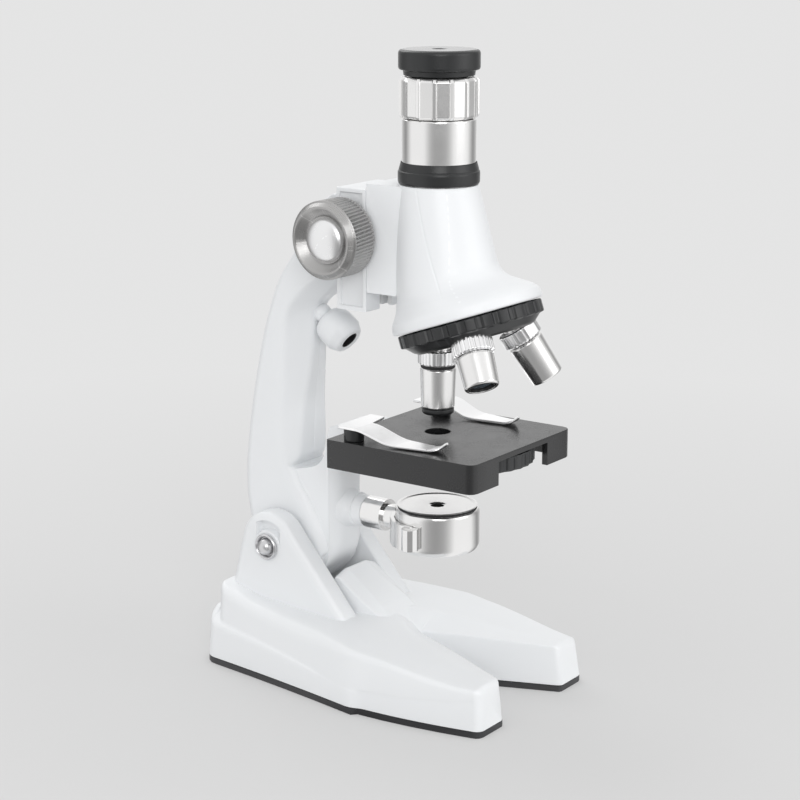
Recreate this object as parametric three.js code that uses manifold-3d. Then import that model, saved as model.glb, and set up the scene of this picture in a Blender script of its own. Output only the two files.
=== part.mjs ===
// A small plastic student microscope, in millimetres.
// +Z is up, the toes of the base point to -Y, and the origin is on the table under the middle of the base.
import * as THREE from "three";
import { mergeVertices } from "three/addons/utils/BufferGeometryUtils.js";
import Module from "manifold-3d";

const wasm = await Module();
wasm.setup();

// ---- Clearances and walls ----
const seatGap = 0.3; // between two pieces that rest on, or turn in, each other
const shellWall = 2.0; // plastic walls of the base, the arm and the head
const screwRadius = 1.2;
const screwHeadRadius = 2.4;
const screwHeadHeight = 1.4;

// Sides of the polygons that stand for round sections.
const largeRound = 20;
const mediumRound = 14;
const smallRound = 10;

// ---- Heights, from the top down: each is tied to the one before it ----
const overallHeight = 225;
const eyecupHeight = 6.8;
const zoomRingDrop = 9.1; // from the very top to the zoom ring's top
const zoomRingLength = 13.9;
const tubeShowing = 14.6; // length of plain tube between the zoom ring and the collar
const collarHeight = 7.3;
const tubeSeatDepth = 2.1;
const apexDrop = 7.8; // from the collar's foot to the point where the turret's and the objectives' axes meet
const driveDrop = 11.4; // from that point to the focus shaft
const blockRise = 16.6; // from the focus shaft to the block's top
const blockHeight = 42.5;
const carriageRise = 18.7;
const carriageHeight = 37.6;
const objectiveTips = [72.2, 66.1, 69.9]; // apex to tip, for the three objectives
const workingGap = 6.6; // from the longest objective's tip to the stage
const stageDepth = 10.1;
const eyecupNeckTop = overallHeight - eyecupHeight;
const zoomRingTop = overallHeight - zoomRingDrop;
const tubeShoulder = zoomRingTop - zoomRingLength;
const collarTop = tubeShoulder - tubeShowing;
const collarBottom = collarTop - collarHeight;
const tubeBottom = collarBottom - tubeSeatDepth;
const turretApexHeight = collarBottom - apexDrop;
const driveHeight = turretApexHeight - driveDrop;
const blockTop = driveHeight + blockRise;
const blockBottom = blockTop - blockHeight;
const carriageTop = driveHeight + carriageRise;
const carriageBottom = carriageTop - carriageHeight;
const stageTop = turretApexHeight - Math.max(...objectiveTips) - workingGap;
const stageBottom = stageTop - stageDepth;

// ---- Base ----
const baseHalfLength = 62.2;
const rearHalfWidth = 31;
const rearCornerRadius = 7;
const waistHalfWidth = 41.2; // widest place, just before the step in the outline
const waistStep = 1.8;
const waistY = -0.225 * baseHalfLength;
const toeOuterHalfWidth = 34;
const toeInnerHalfWidth = 18.2;
const toeCornerRadius = 3;
const gapApexY = -0.233 * baseHalfLength; // rear end of the V between the toes
const plateThickness = 2.3;
const sideDraft = 0.11; // inward lean of the side walls, per millimetre of height
const rearDraft = 0.04;
const toeTopHeight = 16.7;
const rearTopHeight = 30.2;
const tierHeight = 20.5; // the lower tier's top at the rear, which falls away to both sides
const tierLevelHalfWidth = 22.5;
const tierSideSlope = 0.7;
const tierRearDepth = 3.6;
const tierSideDepth = 0.9;
const deckRearDrop = 1.4; // rounding of the deck's rear edge

// ---- Tilt joint ----
const pivotY = 38.2;
const pivotHeight = 46;
const earTopRadius = 12.5;
const earInnerX = 12.9;
const earThickness = 8.3;
const earChamfer = 2;
const earFootFrontY = 3.5;
const earFootHeight = 24.2;
const earRearLean = 0.224; // angle of the ear's rear edge
const earWindowHalfWidth = 5.1;
const earWindowTop = 10.4; // above the pivot
const earWindowDepth = 1.2;
const earBossRadius = 6;
const pivotBoltRadius = 3;
const pivotRingRadius = 4.8;
const pivotRingHeight = 1.3;
const pivotBallRadius = 3.2;

// ---- Arm ----
const armHalfWidth = 11.3;
const armDrawnHeight = 131.5; // from the pivot to the block's top, for which the arm's outlines are drawn
const armStretch = (blockTop - pivotHeight) / armDrawnHeight;
const ribFlankDepth = 7; // how far the rib's front face stands in front of the wide body
const armFrontY = 32.4; // front face of the rib, level with the stage
const armBottomRadius = 18.3; // round foot of the arm, about the tilt pivot
const bellyHalfWidth = 9.2;
const bellyFrontY = 16.2;
const bellyRearY = 20.4; // rear of the belly's top, and of the stage bracket

// ---- Focus block, carriage and drive ----
const blockHalfWidth = 12;
const blockFrontY = 0.2;
const blockRearY = 12.7;
const blockPanelRecess = 0.7;
const blockPanelBorder = 1.6;
const carriageFrontY = -17;
const driveY = 8.6; // axis of the focus shaft
const focusShaftRadius = 1.6;
const pinionTeeth = 10;
const gearModule = 0.8;
const gearBacklash = 0.3;
const pinionHalfWidth = 2.8;
const rackNeckHalfWidth = 3.4;
const rackFlangeHalfWidth = 5.8;
const rackFlangeThickness = 1.2;
const knobRadius = 13.6;
const knobFaceRadius = 12.8;
const knobLipRadius = 11.2;
const knobLength = 13.2;
const knobFlutes = 24;
const knobFluteDepth = 0.5;
const knobDishDepth = 3;
const knobCapRadius = 7.6;

// ---- Optical axis and eyepiece ----
const opticY = -21.8;
const collarRadius = 14;
const tubeRadius = 12.65;
const tubeBoreRadius = 9.6;
const spigotRadius = 11.2;
const zoomRingRadius = 13.6;
const zoomRingRibs = 12;
const zoomRibHalfAngle = 0.055;
const zoomScallopDepth = 0.75;
const eyecupNeckRadius = 12;
const eyecupRadius = 13.8;
const eyeHoleRadius = 3;
const eyeLensRadius = 7.5;

// ---- Head and turret ----
const headTopRadius = 13.7;
const turretTilt = THREE.MathUtils.degToRad(19);
const headRimDistance = 38.7; // from the apex to the head's rim, along the turret axis
const headRimRadius = 25.8;
const headBoreDepth = 13;
const turretRadius = 25.2;
const turretHubRadius = 21;
const turretRimThickness = 4.6;
const turretFlutes = 26;
const turretFluteDepth = 0.8;
const turretConeDepth = 3.2;
const turretScrewRadius = 2;
const objectiveCount = objectiveTips.length;
const objectiveCollarTop = 49.4; // distances along an objective's axis, from the apex
const objectiveCollarLength = 5.2;
const objectiveCollarRadius = 7.1;
const objectiveFlutes = 14;
const barrelTopRadius = 6.35;
const barrelTipRadius = 5.8;
const barrelBoreRadius = 3.6;
const lensThickness = 1.6;

// ---- Stage ----
const stageHalfWidth = 31.2;
const stageFrontY = -57.1;
const stageRearY = 3.3;
const stageFrontCorner = 3.2;
const stageRearCorner = 0.8;
const stageTopThickness = 2;
const stageSkirtThickness = 2.2;
const stageHoleRadius = 4.6;
const stageNotchHalfWidth = 15.4;
const wheelRadius = 22.4;
const wheelThickness = 5;
const wheelProud = 0.5; // how far the wheel reaches past the front of the stage
const wheelFlutes = 30;
const wheelFluteDepth = 0.45;
const apertureRadii = [4.3, 3.2, 2.4, 1.6, 1];
const clipPostX = 26.4;
const clipPostY = -5.2;
const clipPostRadius = 3.5;
const clipPostHeight = 4.2;
const clipThickness = 0.8;
const clipTipY = -41.5;
const leftClipReach = 17.2; // from the post to the end of the clip's head, towards the middle
const rightClipReach = 10.6;
const bracketHalfWidth = 9.6;
const bracketShelfDrop = 4; // from the underside of the stage's top to the shelf

// ---- Lower lamp ----
const lampRise = 0.282; // height of the lamp's swivel, as a share of the way from the pivot to the stage
const lampHeight = pivotHeight + lampRise * (stageTop - pivotHeight);
const drumRadius = 14.9;
const drumHeight = 16.2;
const drumWall = 1.4;
const drumFloorRadius = 2.4;
const lampCoverRadius = 13.2;
const lampCoverThickness = 1.2;
const lampHoleRadius = 2.2;
const yokeBandThickness = 1.5;
const yokeBandBottom = lampHeight - 6;
const yokeBandTop = lampHeight + 3.2;
const yokePillarRadius = 3;
const lampCollarRadius = 5.8;
const lampCollarFrontY = -0.4;
const lampCollarRearY = 8;
const lampNeckRadius = 4.4;
const lampRodRadius = 3;
const lampSocketRadius = 6.2;

// ---- Upper lamp ----
const spotDrawnRise = 83.7; // from the pivot up to the lamp's ball, as drawn
const spotBallY = 28.2;
const spotBallHeight = pivotHeight + spotDrawnRise * armStretch;
const spotBallRadius = 3.4;
const spotStemRadius = 2.2;
const spotStemLength = 3.6;
const spotRadius = 7.1;
const spotLength = 14.9;
const spotBackStart = 2.2; // from the ball's middle to the head's back, clear of the arm when tilted
const spotBoreRadius = 4.3;

// ---- Battery bay ----
const cellRadius = 7.1;
const cellLength = 49.5;
const cellCentreHeight = 11.2;
const contactThickness = 0.5;
const contactSpringLength = 1.2;
const doorHalfWidth = 28.5;
const doorLength = 34;
const doorRearY = baseHalfLength - 6.7;
const doorFrontY = doorRearY - doorLength;
const cellFrontY = doorFrontY + 9;

// ---- Colours and finishes ----
const finishes = {
  whitePlastic: { color: 0xf1f3f5, roughness: 0.28, metalness: 0 },
  blackPlastic: { color: 0x3c3d3e, roughness: 0.42, metalness: 0 },
  charcoalPlate: { color: 0x2a2b2d, roughness: 0.55, metalness: 0 },
  chrome: { color: 0xd9dadb, roughness: 0.14, metalness: 1 },
  brushedSteel: { color: 0xb4b2af, roughness: 0.34, metalness: 1 },
  screwSteel: { color: 0x9a9b9d, roughness: 0.4, metalness: 1 },
  brass: { color: 0xb8934a, roughness: 0.35, metalness: 1 },
  cellJacket: { color: 0x4a5a52, roughness: 0.5, metalness: 0 },
  glass: { color: 0xbfd3dc, roughness: 0.05, metalness: 0 },
  mirror: { color: 0xe4e7ea, roughness: 0.03, metalness: 1 },
  lampDome: { color: 0xf3efdc, roughness: 0.2, metalness: 0 },
};

// ---- Solids: geometry in, geometry out ----
function asManifold(geometry) {
  const plain = geometry.clone();
  plain.deleteAttribute("normal");
  plain.deleteAttribute("uv");
  const merged = mergeVertices(plain, 1e-4);
  return new wasm.Manifold(
    new wasm.Mesh({
      numProp: 3,
      vertProperties: merged.attributes.position.array,
      triVerts: new Uint32Array(merged.index.array),
    }),
  );
}

function asGeometry(manifold) {
  const mesh = manifold.getMesh();
  const positions = new Float32Array(mesh.numVert * 3);
  for (let i = 0; i < mesh.numVert; i++) {
    positions.set(mesh.vertProperties.subarray(i * mesh.numProp, i * mesh.numProp + 3), i * 3);
  }
  const geometry = new THREE.BufferGeometry();
  geometry.setAttribute("position", new THREE.BufferAttribute(positions, 3));
  geometry.setIndex(new THREE.BufferAttribute(mesh.triVerts, 1));
  const faceted = geometry.toNonIndexed();
  faceted.computeVertexNormals();
  return faceted;
}

function join(first, ...others) {
  return asGeometry(others.reduce((sum, other) => sum.add(asManifold(other)), asManifold(first)));
}

function cut(first, ...others) {
  return asGeometry(others.reduce((rest, other) => rest.subtract(asManifold(other)), asManifold(first)));
}

function common(first, second) {
  return asGeometry(asManifold(first).intersect(asManifold(second)));
}

// ---- Shapes ----
const point = (x, y) => new THREE.Vector2(x, y);

function box(x0, x1, y0, y1, z0, z1) {
  const geometry = new THREE.BoxGeometry(x1 - x0, y1 - y0, z1 - z0);
  return geometry.translate((x0 + x1) / 2, (y0 + y1) / 2, (z0 + z1) / 2);
}

// A cylinder along Z, from z0 to z1. The radii may differ.
function rod(radius, z0, z1, segments = mediumRound, topRadius = radius) {
  const geometry = new THREE.CylinderGeometry(topRadius, radius, z1 - z0, segments);
  return geometry.rotateX(Math.PI / 2).translate(0, 0, (z0 + z1) / 2);
}

const alongX = (geometry) => geometry.rotateY(Math.PI / 2);
const alongY = (geometry) => geometry.rotateX(-Math.PI / 2);

// A turned piece about Z. The profile holds (radius, z) points, listed from the bottom of the axis upwards.
function turned(profile, segments = largeRound) {
  return new THREE.LatheGeometry(profile, segments).rotateX(Math.PI / 2);
}

// A turned ring with a rectangular section.
function ring(outer, inner, z0, z1, segments = largeRound) {
  const profile = [point(inner, z0), point(outer, z0), point(outer, z1), point(inner, z1), point(inner, z0)];
  return turned(profile, segments);
}

// A ball with its poles on the Z axis.
function sphere(radius) {
  return new THREE.SphereGeometry(radius, smallRound + 2, 8).rotateX(Math.PI / 2);
}

// An outline in X and Y, raised from z0 to z1.
function plate(points, z0, z1) {
  const geometry = new THREE.ExtrudeGeometry(new THREE.Shape(points), {
    depth: z1 - z0,
    bevelEnabled: false,
    curveSegments: 8,
  });
  return geometry.translate(0, 0, z0);
}

// An outline in Y and Z, spread along X from -halfWidth to halfWidth, with its long edges bevelled.
function sidePlate(points, halfWidth, bevel = 0, bevelSegments = 2) {
  const geometry = new THREE.ExtrudeGeometry(new THREE.Shape(points), {
    depth: 2 * (halfWidth - bevel),
    bevelEnabled: bevel > 0,
    bevelThickness: bevel,
    bevelSize: bevel,
    bevelOffset: -bevel,
    bevelSegments,
    curveSegments: 8,
  });
  geometry.translate(0, 0, -(halfWidth - bevel));
  return geometry.rotateY(Math.PI / 2).rotateX(Math.PI / 2);
}

// Points of an arc about a centre, from one angle to another, both ends included.
function arc(centreX, centreY, radius, from, to, steps) {
  return Array.from({ length: steps + 1 }, (_, i) => {
    const angle = from + ((to - from) * i) / steps;
    return point(centreX + radius * Math.cos(angle), centreY + radius * Math.sin(angle));
  });
}

// A round outline with square flutes cut into it.
function flutedOutline(radius, depth, count) {
  return Array.from({ length: count * 4 }, (_, i) => {
    const angle = ((Math.floor(i / 4) + [0, 0.5, 0.5, 1][i % 4] * 0.98) * 2 * Math.PI) / count;
    const reach = i % 4 < 2 ? radius : radius - depth;
    return point(reach * Math.cos(angle), reach * Math.sin(angle));
  });
}

// A round outline with fine ridges, one point on each crest and one in each groove.
function ridgedOutline(radius, depth, count) {
  return Array.from({ length: count * 2 }, (_, i) => {
    const angle = (i * Math.PI) / count;
    const reach = i % 2 === 0 ? radius : radius - depth;
    return point(reach * Math.cos(angle), reach * Math.sin(angle));
  });
}

const mirrored = (points) => points.map((p) => point(-p.x, p.y)).reverse();

// A closed skin through rings of equally many 3D points, from the lowest ring to the highest, with flat ends.
// Seen from above, each ring runs anticlockwise.
function skin(rings) {
  const count = rings[0].length;
  const positions = rings.flat().flatMap((p) => [p.x, p.y, p.z]);
  const index = [];
  for (let level = 0; level + 1 < rings.length; level++) {
    for (let i = 0; i < count; i++) {
      const a = level * count + i;
      const b = level * count + ((i + 1) % count);
      index.push(a, b, b + count, a, b + count, a + count);
    }
  }
  const flat = (ring) => ring.map((p) => point(p.x, p.y));
  const top = (rings.length - 1) * count;
  for (const [a, b, c] of THREE.ShapeUtils.triangulateShape(flat(rings[0]), [])) index.push(a, c, b);
  for (const [a, b, c] of THREE.ShapeUtils.triangulateShape(flat(rings.at(-1)), [])) {
    index.push(top + a, top + b, top + c);
  }
  const geometry = new THREE.BufferGeometry();
  geometry.setAttribute("position", new THREE.Float32BufferAttribute(positions, 3));
  geometry.setIndex(index);
  return geometry;
}

// The same solid on the other side of the middle plane.
function mirrorX(geometry) {
  return asGeometry(asManifold(geometry).mirror([1, 0, 0]));
}

const raise = (points, z) => points.map((p) => new THREE.Vector3(p.x, p.y, z));

// ---- The model and its groups ----
const microscope = new THREE.Group();

function add(parent, name, finish, geometry, place = [0, 0, 0]) {
  const mesh = new THREE.Mesh(geometry, new THREE.MeshStandardMaterial(finishes[finish]));
  mesh.name = name;
  mesh.position.set(...place);
  parent.add(mesh);
  return mesh;
}

// A pan-head screw along Z with its head's underside at z = 0 and its shank pointing down.
function screw(length, shankRadius = screwRadius, headRadius = screwHeadRadius) {
  const slot = box(-headRadius, headRadius, -0.3, 0.3, screwHeadHeight - 0.5, screwHeadHeight + 1);
  const head = rod(headRadius, 0, screwHeadHeight, mediumRound, headRadius * 0.8);
  return cut(join(head, rod(shankRadius, -length, 0.1, smallRound)), slot);
}

// ---- Base ----
// The base seen from above, drawn in by a distance all round, though less at the rear by a given amount.
// The upper tier is shorter and narrower at the rear.
function baseOutline(drawIn = 0, upperTier = false, rearGive = 0) {
  const halfLength = baseHalfLength - drawIn;
  const rearLength = halfLength + rearGive - (upperTier ? tierRearDepth : 0);
  const rearCorner = Math.max(rearCornerRadius - drawIn, 1);
  const toeCorner = Math.max(toeCornerRadius - drawIn, 0.8);
  const rearWidth = rearHalfWidth + rearGive / 2 - drawIn - (upperTier ? tierSideDepth : 0);
  const waistWidth = waistHalfWidth - drawIn;
  const toeOuter = toeOuterHalfWidth - drawIn;
  const toeInner = toeInnerHalfWidth + drawIn;
  const apexY = gapApexY + drawIn * 2.9;
  const sideLine = new THREE.QuadraticBezierCurve(
    point(rearWidth, rearLength - rearCorner),
    point(rearWidth + 4, waistY + 34),
    point(waistWidth, waistY),
  );
  const toeLine = new THREE.QuadraticBezierCurve(
    point(waistWidth - waistStep, waistY - waistStep),
    point(waistWidth - waistStep - 0.4, waistY - 22),
    point(toeOuter, toeCorner - halfLength),
  );
  const quarter = Math.PI / 2;
  const right = [
    point(0.5, apexY - 0.6),
    point(1.2, apexY - 2.4),
    ...arc(toeInner + toeCorner / 2, toeCorner / 2 - halfLength, toeCorner / 2, quarter * 2, quarter * 3, 2),
    ...arc(toeOuter - toeCorner, toeCorner - halfLength, toeCorner, -quarter, 0, 3),
    ...toeLine.getPoints(4).reverse().slice(1),
    ...sideLine.getPoints(4).reverse(),
    ...arc(rearWidth - rearCorner, rearLength - rearCorner, rearCorner, 0, quarter, 4).slice(1),
  ];
  return [...right, ...mirrored(right)];
}

const deckRearEdge = rearTopHeight - deckRearDrop * 3;

// Sections across the deck: the place along the half length, then the height at the side walls, the half
// width and height of the crests that run down both toes, and the height in the middle.
const deckSections = [
  [-1.05, toeTopHeight - 0.6, 22.6, toeTopHeight, 15],
  [-0.84, toeTopHeight, 20.9, toeTopHeight + 1, 15],
  [-0.72, toeTopHeight + 0.8, 19.6, toeTopHeight + 1.9, 15.3],
  [-0.57, toeTopHeight + 2.1, 17.2, toeTopHeight + 3.2, 15.9],
  [-0.41, toeTopHeight + 3.7, 13.8, toeTopHeight + 4.7, 16.6],
  [-0.3, toeTopHeight + 4.5, 10.8, toeTopHeight + 5.8, 17.4],
  [-0.23, toeTopHeight + 4.9, 8.2, toeTopHeight + 6.9, 18.4],
  [-0.175, toeTopHeight + 5.2, 5.8, toeTopHeight + 7.6, 21.1],
  [-0.056, toeTopHeight + 5.9, 3, toeTopHeight + 9.1, 25.6],
  [0.1, rearTopHeight - 6.5, 10, rearTopHeight - 5.7, rearTopHeight - 5.4],
  [0.25, rearTopHeight - 6, 12, rearTopHeight - 5.7, rearTopHeight - 5.7],
  [0.5, rearTopHeight - 4.9, 12, rearTopHeight - 4.7, rearTopHeight - 4.7],
  [0.7, rearTopHeight - 3.3, 12, rearTopHeight - 3.1, rearTopHeight - 3.1],
  [0.86, rearTopHeight - 1.2, 12, rearTopHeight - 1, rearTopHeight - 1],
  [0.93, rearTopHeight - 0.1, 12, rearTopHeight, rearTopHeight],
  [1.02, deckRearEdge, 12, deckRearEdge, deckRearEdge],
];

// Everything below the deck's surface, lowered by a drop.
function underDeck(drop = 0) {
  const reach = waistHalfWidth + 4;
  const rings = deckSections.map(([share, edge, crestHalf, crest, middle]) => {
    const y = share * baseHalfLength;
    const edgeX = waistHalfWidth - 6;
    const half = [point(crestHalf, crest), point(edgeX, edge), point(reach, edge - 0.3)];
    const across = [
      point(0, middle),
      ...half,
      point(reach, drop - 2),
      point(-reach, drop - 2),
      ...half.map((p) => point(-p.x, p.y)).reverse(),
    ];
    return across.map((p) => new THREE.Vector3(p.x, drop - p.y, y));
  });
  return skin(rings).rotateX(-Math.PI / 2);
}

// A bar across the middle plane, centred on the tilt pivot.
function acrossPivot(radius, reach, segments = largeRound) {
  return alongX(rod(radius, -reach, reach, segments)).translate(0, pivotY, pivotHeight);
}

function earOutline(drawIn = 0) {
  const radius = earTopRadius - drawIn;
  const frontAngle = Math.PI * 0.715;
  const footDepth = 5;
  return [
    point(pivotY + earTopRadius + 6.4 - drawIn, rearTopHeight - 8.4),
    ...arc(pivotY, pivotHeight, radius, earRearLean, frontAngle, 8),
    point(earFootFrontY + 1.2 + drawIn * 1.3, earFootHeight + 1),
    point(earFootFrontY - 2 + drawIn * 1.3, earFootHeight - footDepth),
  ];
}

// The ears' outer edges are chamfered, and a window above each bolt is sunk into the outer face.
function earPlates() {
  const middle = earInnerX + earThickness / 2;
  const half = earThickness / 2;
  const stations = [
    [-half, 0.5],
    [-half + 0.6, 0],
    [half - earChamfer, 0],
    [half - 0.5, earChamfer * 0.8],
    [half, earChamfer * 1.2],
  ];
  const rings = stations.map(([x, drawIn]) => earOutline(drawIn).map((p) => new THREE.Vector3(p.x, p.y, x)));
  const right = skin(rings).rotateY(Math.PI / 2).rotateX(Math.PI / 2).translate(middle, 0, 0);
  const faceX = earInnerX + earThickness;
  const windowRoom = box(
    faceX - earWindowDepth,
    faceX + 1,
    pivotY - earWindowHalfWidth,
    pivotY + earWindowHalfWidth,
    pivotHeight,
    pivotHeight + earWindowTop,
  );
  const boss = alongX(rod(earBossRadius, 0, faceX + 2, largeRound)).translate(0, pivotY, pivotHeight);
  const domeRadius = earTopRadius - earChamfer * 1.2;
  const dome = alongX(rod(domeRadius, 0, faceX + 2, largeRound)).translate(0, pivotY, pivotHeight);
  const ear = cut(right, common(cut(windowRoom, boss), dome));
  return [ear, mirrorX(ear)];
}

const humpHalfWidth = 11.4;
const humpChamfer = 3;
const humpOutline = [
  point(17, 21),
  point(16.6, 35.4),
  point(13.9, 38.5),
  point(11.5, 37.6),
  point(-3.6, 27.9),
  point(-5.6, 21),
];

const screwPosts = [-1, 1].map((side) => [side * 22, 18.2 - baseHalfLength]);

function baseShell() {
  const roofHeight = rearTopHeight + 2;
  const lean = sideDraft * (roofHeight - plateThickness);
  const rearGive = (sideDraft - rearDraft) * (roofHeight - plateThickness);
  const walls = (drawIn, floor, upper) => {
    const foot = raise(baseOutline(drawIn, upper), floor);
    return skin([foot, raise(baseOutline(drawIn + lean, upper, rearGive), roofHeight)]);
  };
  const upper = common(walls(0, plateThickness, true), underDeck());
  const tierReach = waistHalfWidth + 4;
  const tierSection = [
    point(-tierReach, -1),
    point(tierReach, -1),
    point(tierReach, tierHeight - (tierReach - tierLevelHalfWidth) * tierSideSlope),
    point(tierLevelHalfWidth, tierHeight),
    point(-tierLevelHalfWidth, tierHeight),
    point(-tierReach, tierHeight - (tierReach - tierLevelHalfWidth) * tierSideSlope),
  ];
  const tierRoom = plate(tierSection, -baseHalfLength - 2, baseHalfLength + 2).rotateX(Math.PI / 2);
  const lower = common(common(walls(0, plateThickness, false), underDeck()), tierRoom);
  const hump = sidePlate(humpOutline, humpHalfWidth, humpChamfer, 1);
  const troughRadius = armBottomRadius + 2.2;
  const posts = screwPosts.map(([x, y]) => {
    return rod(3.4, plateThickness, toeTopHeight, smallRound).translate(x, y, 0);
  });
  const hollow = common(walls(shellWall, plateThickness - 1, true), underDeck(shellWall));
  const room = cut(hollow, acrossPivot(troughRadius + shellWall, earInnerX), ...posts);
  const pilots = screwPosts.map(([x, y]) => {
    return rod(screwRadius + seatGap, plateThickness - 1, toeTopHeight - 5, smallRound).translate(x, y, 0);
  });
  const pivotHole = acrossPivot(pivotBoltRadius + seatGap, waistHalfWidth, smallRound);
  const trough = acrossPivot(troughRadius, earInnerX);
  return cut(join(upper, lower, hump, ...earPlates()), trough, room, pivotHole, ...pilots);
}

function basePlate() {
  const opening = box(-doorHalfWidth, doorHalfWidth, doorFrontY, doorRearY, -1, plateThickness + 1);
  const recess = screwPosts.map(([x, y]) => {
    const sink = rod(screwHeadRadius + seatGap, -1, screwHeadHeight + 0.2, smallRound);
    return join(sink, rod(screwRadius + seatGap, 0, plateThickness + 1, smallRound)).translate(x, y, 0);
  });
  return cut(plate(baseOutline(), 0, plateThickness - seatGap / 3), opening, ...recess);
}

function batteryDoor() {
  const panel = box(
    -doorHalfWidth + seatGap,
    doorHalfWidth - seatGap,
    doorFrontY + seatGap,
    doorRearY - seatGap,
    0.3,
    plateThickness,
  );
  const screwHole = rod(screwRadius + seatGap, -1, plateThickness + 1, smallRound);
  const sink = rod(screwHeadRadius + seatGap, -1, screwHeadHeight + 0.4, smallRound);
  return cut(panel, join(screwHole, sink).translate(0, doorFrontY + 4, 0));
}

function contact(side) {
  const x = side * (cellLength / 2 + contactSpringLength + contactThickness / 2 + seatGap);
  const half = contactThickness / 2;
  const strip = box(x - half, x + half, cellFrontY - 5, cellFrontY + 19, 5, 15);
  const bumps = [0, 1].map((i) => {
    const spring = rod(3, 0, contactSpringLength, smallRound, 2);
    return spring.rotateY((-side * Math.PI) / 2).translate(x, cellFrontY + i * cellPitch, cellCentreHeight);
  });
  return join(strip, ...bumps);
}

const cellPitch = 2 * cellRadius + 1;

function cell() {
  const body = rod(cellRadius, -cellLength / 2, cellLength / 2 - 1.4, mediumRound);
  return alongX(join(body, rod(2.6, cellLength / 2 - 1.5, cellLength / 2, smallRound)));
}

function buildBase() {
  const base = new THREE.Group();
  microscope.add(base);
  add(base, "base_shell", "whitePlastic", baseShell());
  add(base, "base_plate", "charcoalPlate", basePlate());
  add(base, "battery_door", "charcoalPlate", batteryDoor());
  const doorScrew = screw(2.2).rotateX(Math.PI);
  add(base, "battery_door_screw", "screwSteel", doorScrew, [0, doorFrontY + 4, screwHeadHeight + 0.1]);
  add(base, "battery_cell_front", "cellJacket", cell(), [0, cellFrontY, cellCentreHeight]);
  const rearCell = cell().rotateZ(Math.PI);
  add(base, "battery_cell_rear", "cellJacket", rearCell, [0, cellFrontY + cellPitch, cellCentreHeight]);
  add(base, "battery_contact_left", "brass", contact(-1));
  add(base, "battery_contact_right", "brass", contact(1));
  screwPosts.forEach(([x, y]) => {
    const name = x < 0 ? "base_screw_left" : "base_screw_right";
    add(base, name, "screwSteel", screw(8).rotateX(Math.PI), [x, y, screwHeadHeight]);
  });
  buildPivot(base);
}

// The bolt runs through both ears. Its ball head sits in a ring on the left, and the nut looks the same.
function buildPivot(base) {
  const outerX = earInnerX + earThickness + seatGap;
  const dome = sphere(pivotBallRadius);
  const washer = ring(pivotRingRadius, pivotBallRadius - 0.6, 0, pivotRingHeight, mediumRound);
  const head = join(washer, dome, rod(pivotBoltRadius, 0, 0.8, smallRound));
  const boltLength = 2 * outerX;
  const onlyOut = box(-9, 9, -9, 9, 0, 9);
  const capEnd = common(head, onlyOut);
  const bolt = join(capEnd, rod(pivotBoltRadius - 0.4, -boltLength + 1.4, 0.1, smallRound));
  const left = bolt.clone().rotateY(-Math.PI / 2);
  add(base, "pivot_bolt", "brushedSteel", left, [-outerX, pivotY, pivotHeight]);
  const socket = rod(pivotBoltRadius - 0.1, -1, 1, smallRound);
  const nut = cut(join(capEnd, rod(pivotBoltRadius, 0, 2, smallRound)), socket).rotateY(Math.PI / 2);
  add(base, "pivot_nut", "brushedSteel", nut, [outerX, pivotY, pivotHeight]);
}

// ---- Arm ----
// Both shells and the pieces fixed to them turn about the tilt pivot.
const arm = new THREE.Group();

// Moves an open line sideways, to the right of its direction of travel.
function drawnIn(points, distance) {
  return points.map((here, i) => {
    const before = points[Math.max(i - 1, 0)];
    const after = points[Math.min(i + 1, points.length - 1)];
    const along = after.clone().sub(before).normalize();
    return point(here.x - -along.y * distance, here.y - along.x * distance);
  });
}

// Heights in the arm's outlines, drawn for its usual length and stretched from the pivot upwards.
const drawnPivotHeight = 46;
const armLevel = (height) => pivotHeight + (height - drawnPivotHeight) * armStretch;

// The rear edge of the arm, from the block's top down to the round foot.
const armRearLine = new THREE.SplineCurve([
  point(blockRearY + 2.4, blockTop - 3),
  point(21.8, armLevel(171.2)),
  point(28.7, armLevel(162)),
  point(34.4, armLevel(152.2)),
  point(41.3, armLevel(142)),
  point(46.7, armLevel(128)),
  point(50.7, armLevel(113.1)),
  point(54.4, armLevel(95.1)),
  point(57, armLevel(77)),
  point(57.5, armLevel(67)),
  point(56, armLevel(53)),
]).getPoints(11);

// The wide body of the arm seen from the side, drawn in by a distance all round.
function armWideOutline(drawIn = 0) {
  const topY = blockRearY + seatGap + drawIn;
  const front = [
    point(20.6, armLevel(43)),
    point(24, armLevel(50.5)),
    point(27.3, armLevel(57)),
    point(31.2, armLevel(63.6)),
    point(34.4, armLevel(68)),
    point(36.6, armLevel(73)),
    point(38, armLevel(79)),
    point(38.8, armLevel(90)),
    point(38, armLevel(102)),
    point(37, armLevel(118)),
    point(36.5, armLevel(128)),
    point(33.5, armLevel(134.5)),
    point(27.5, armLevel(140.5)),
    point(20, armLevel(146)),
  ];
  return [
    ...drawnIn(armRearLine, drawIn).slice(1),
    ...arc(pivotY, pivotHeight, armBottomRadius - drawIn, 0.15, -2.5, 8),
    ...drawnIn(front, drawIn),
    point(topY, armLevel(149.5) + drawIn * 1.2),
    point(topY, blockTop - 2.4 - drawIn * 2.4),
  ].reverse();
}

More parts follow.
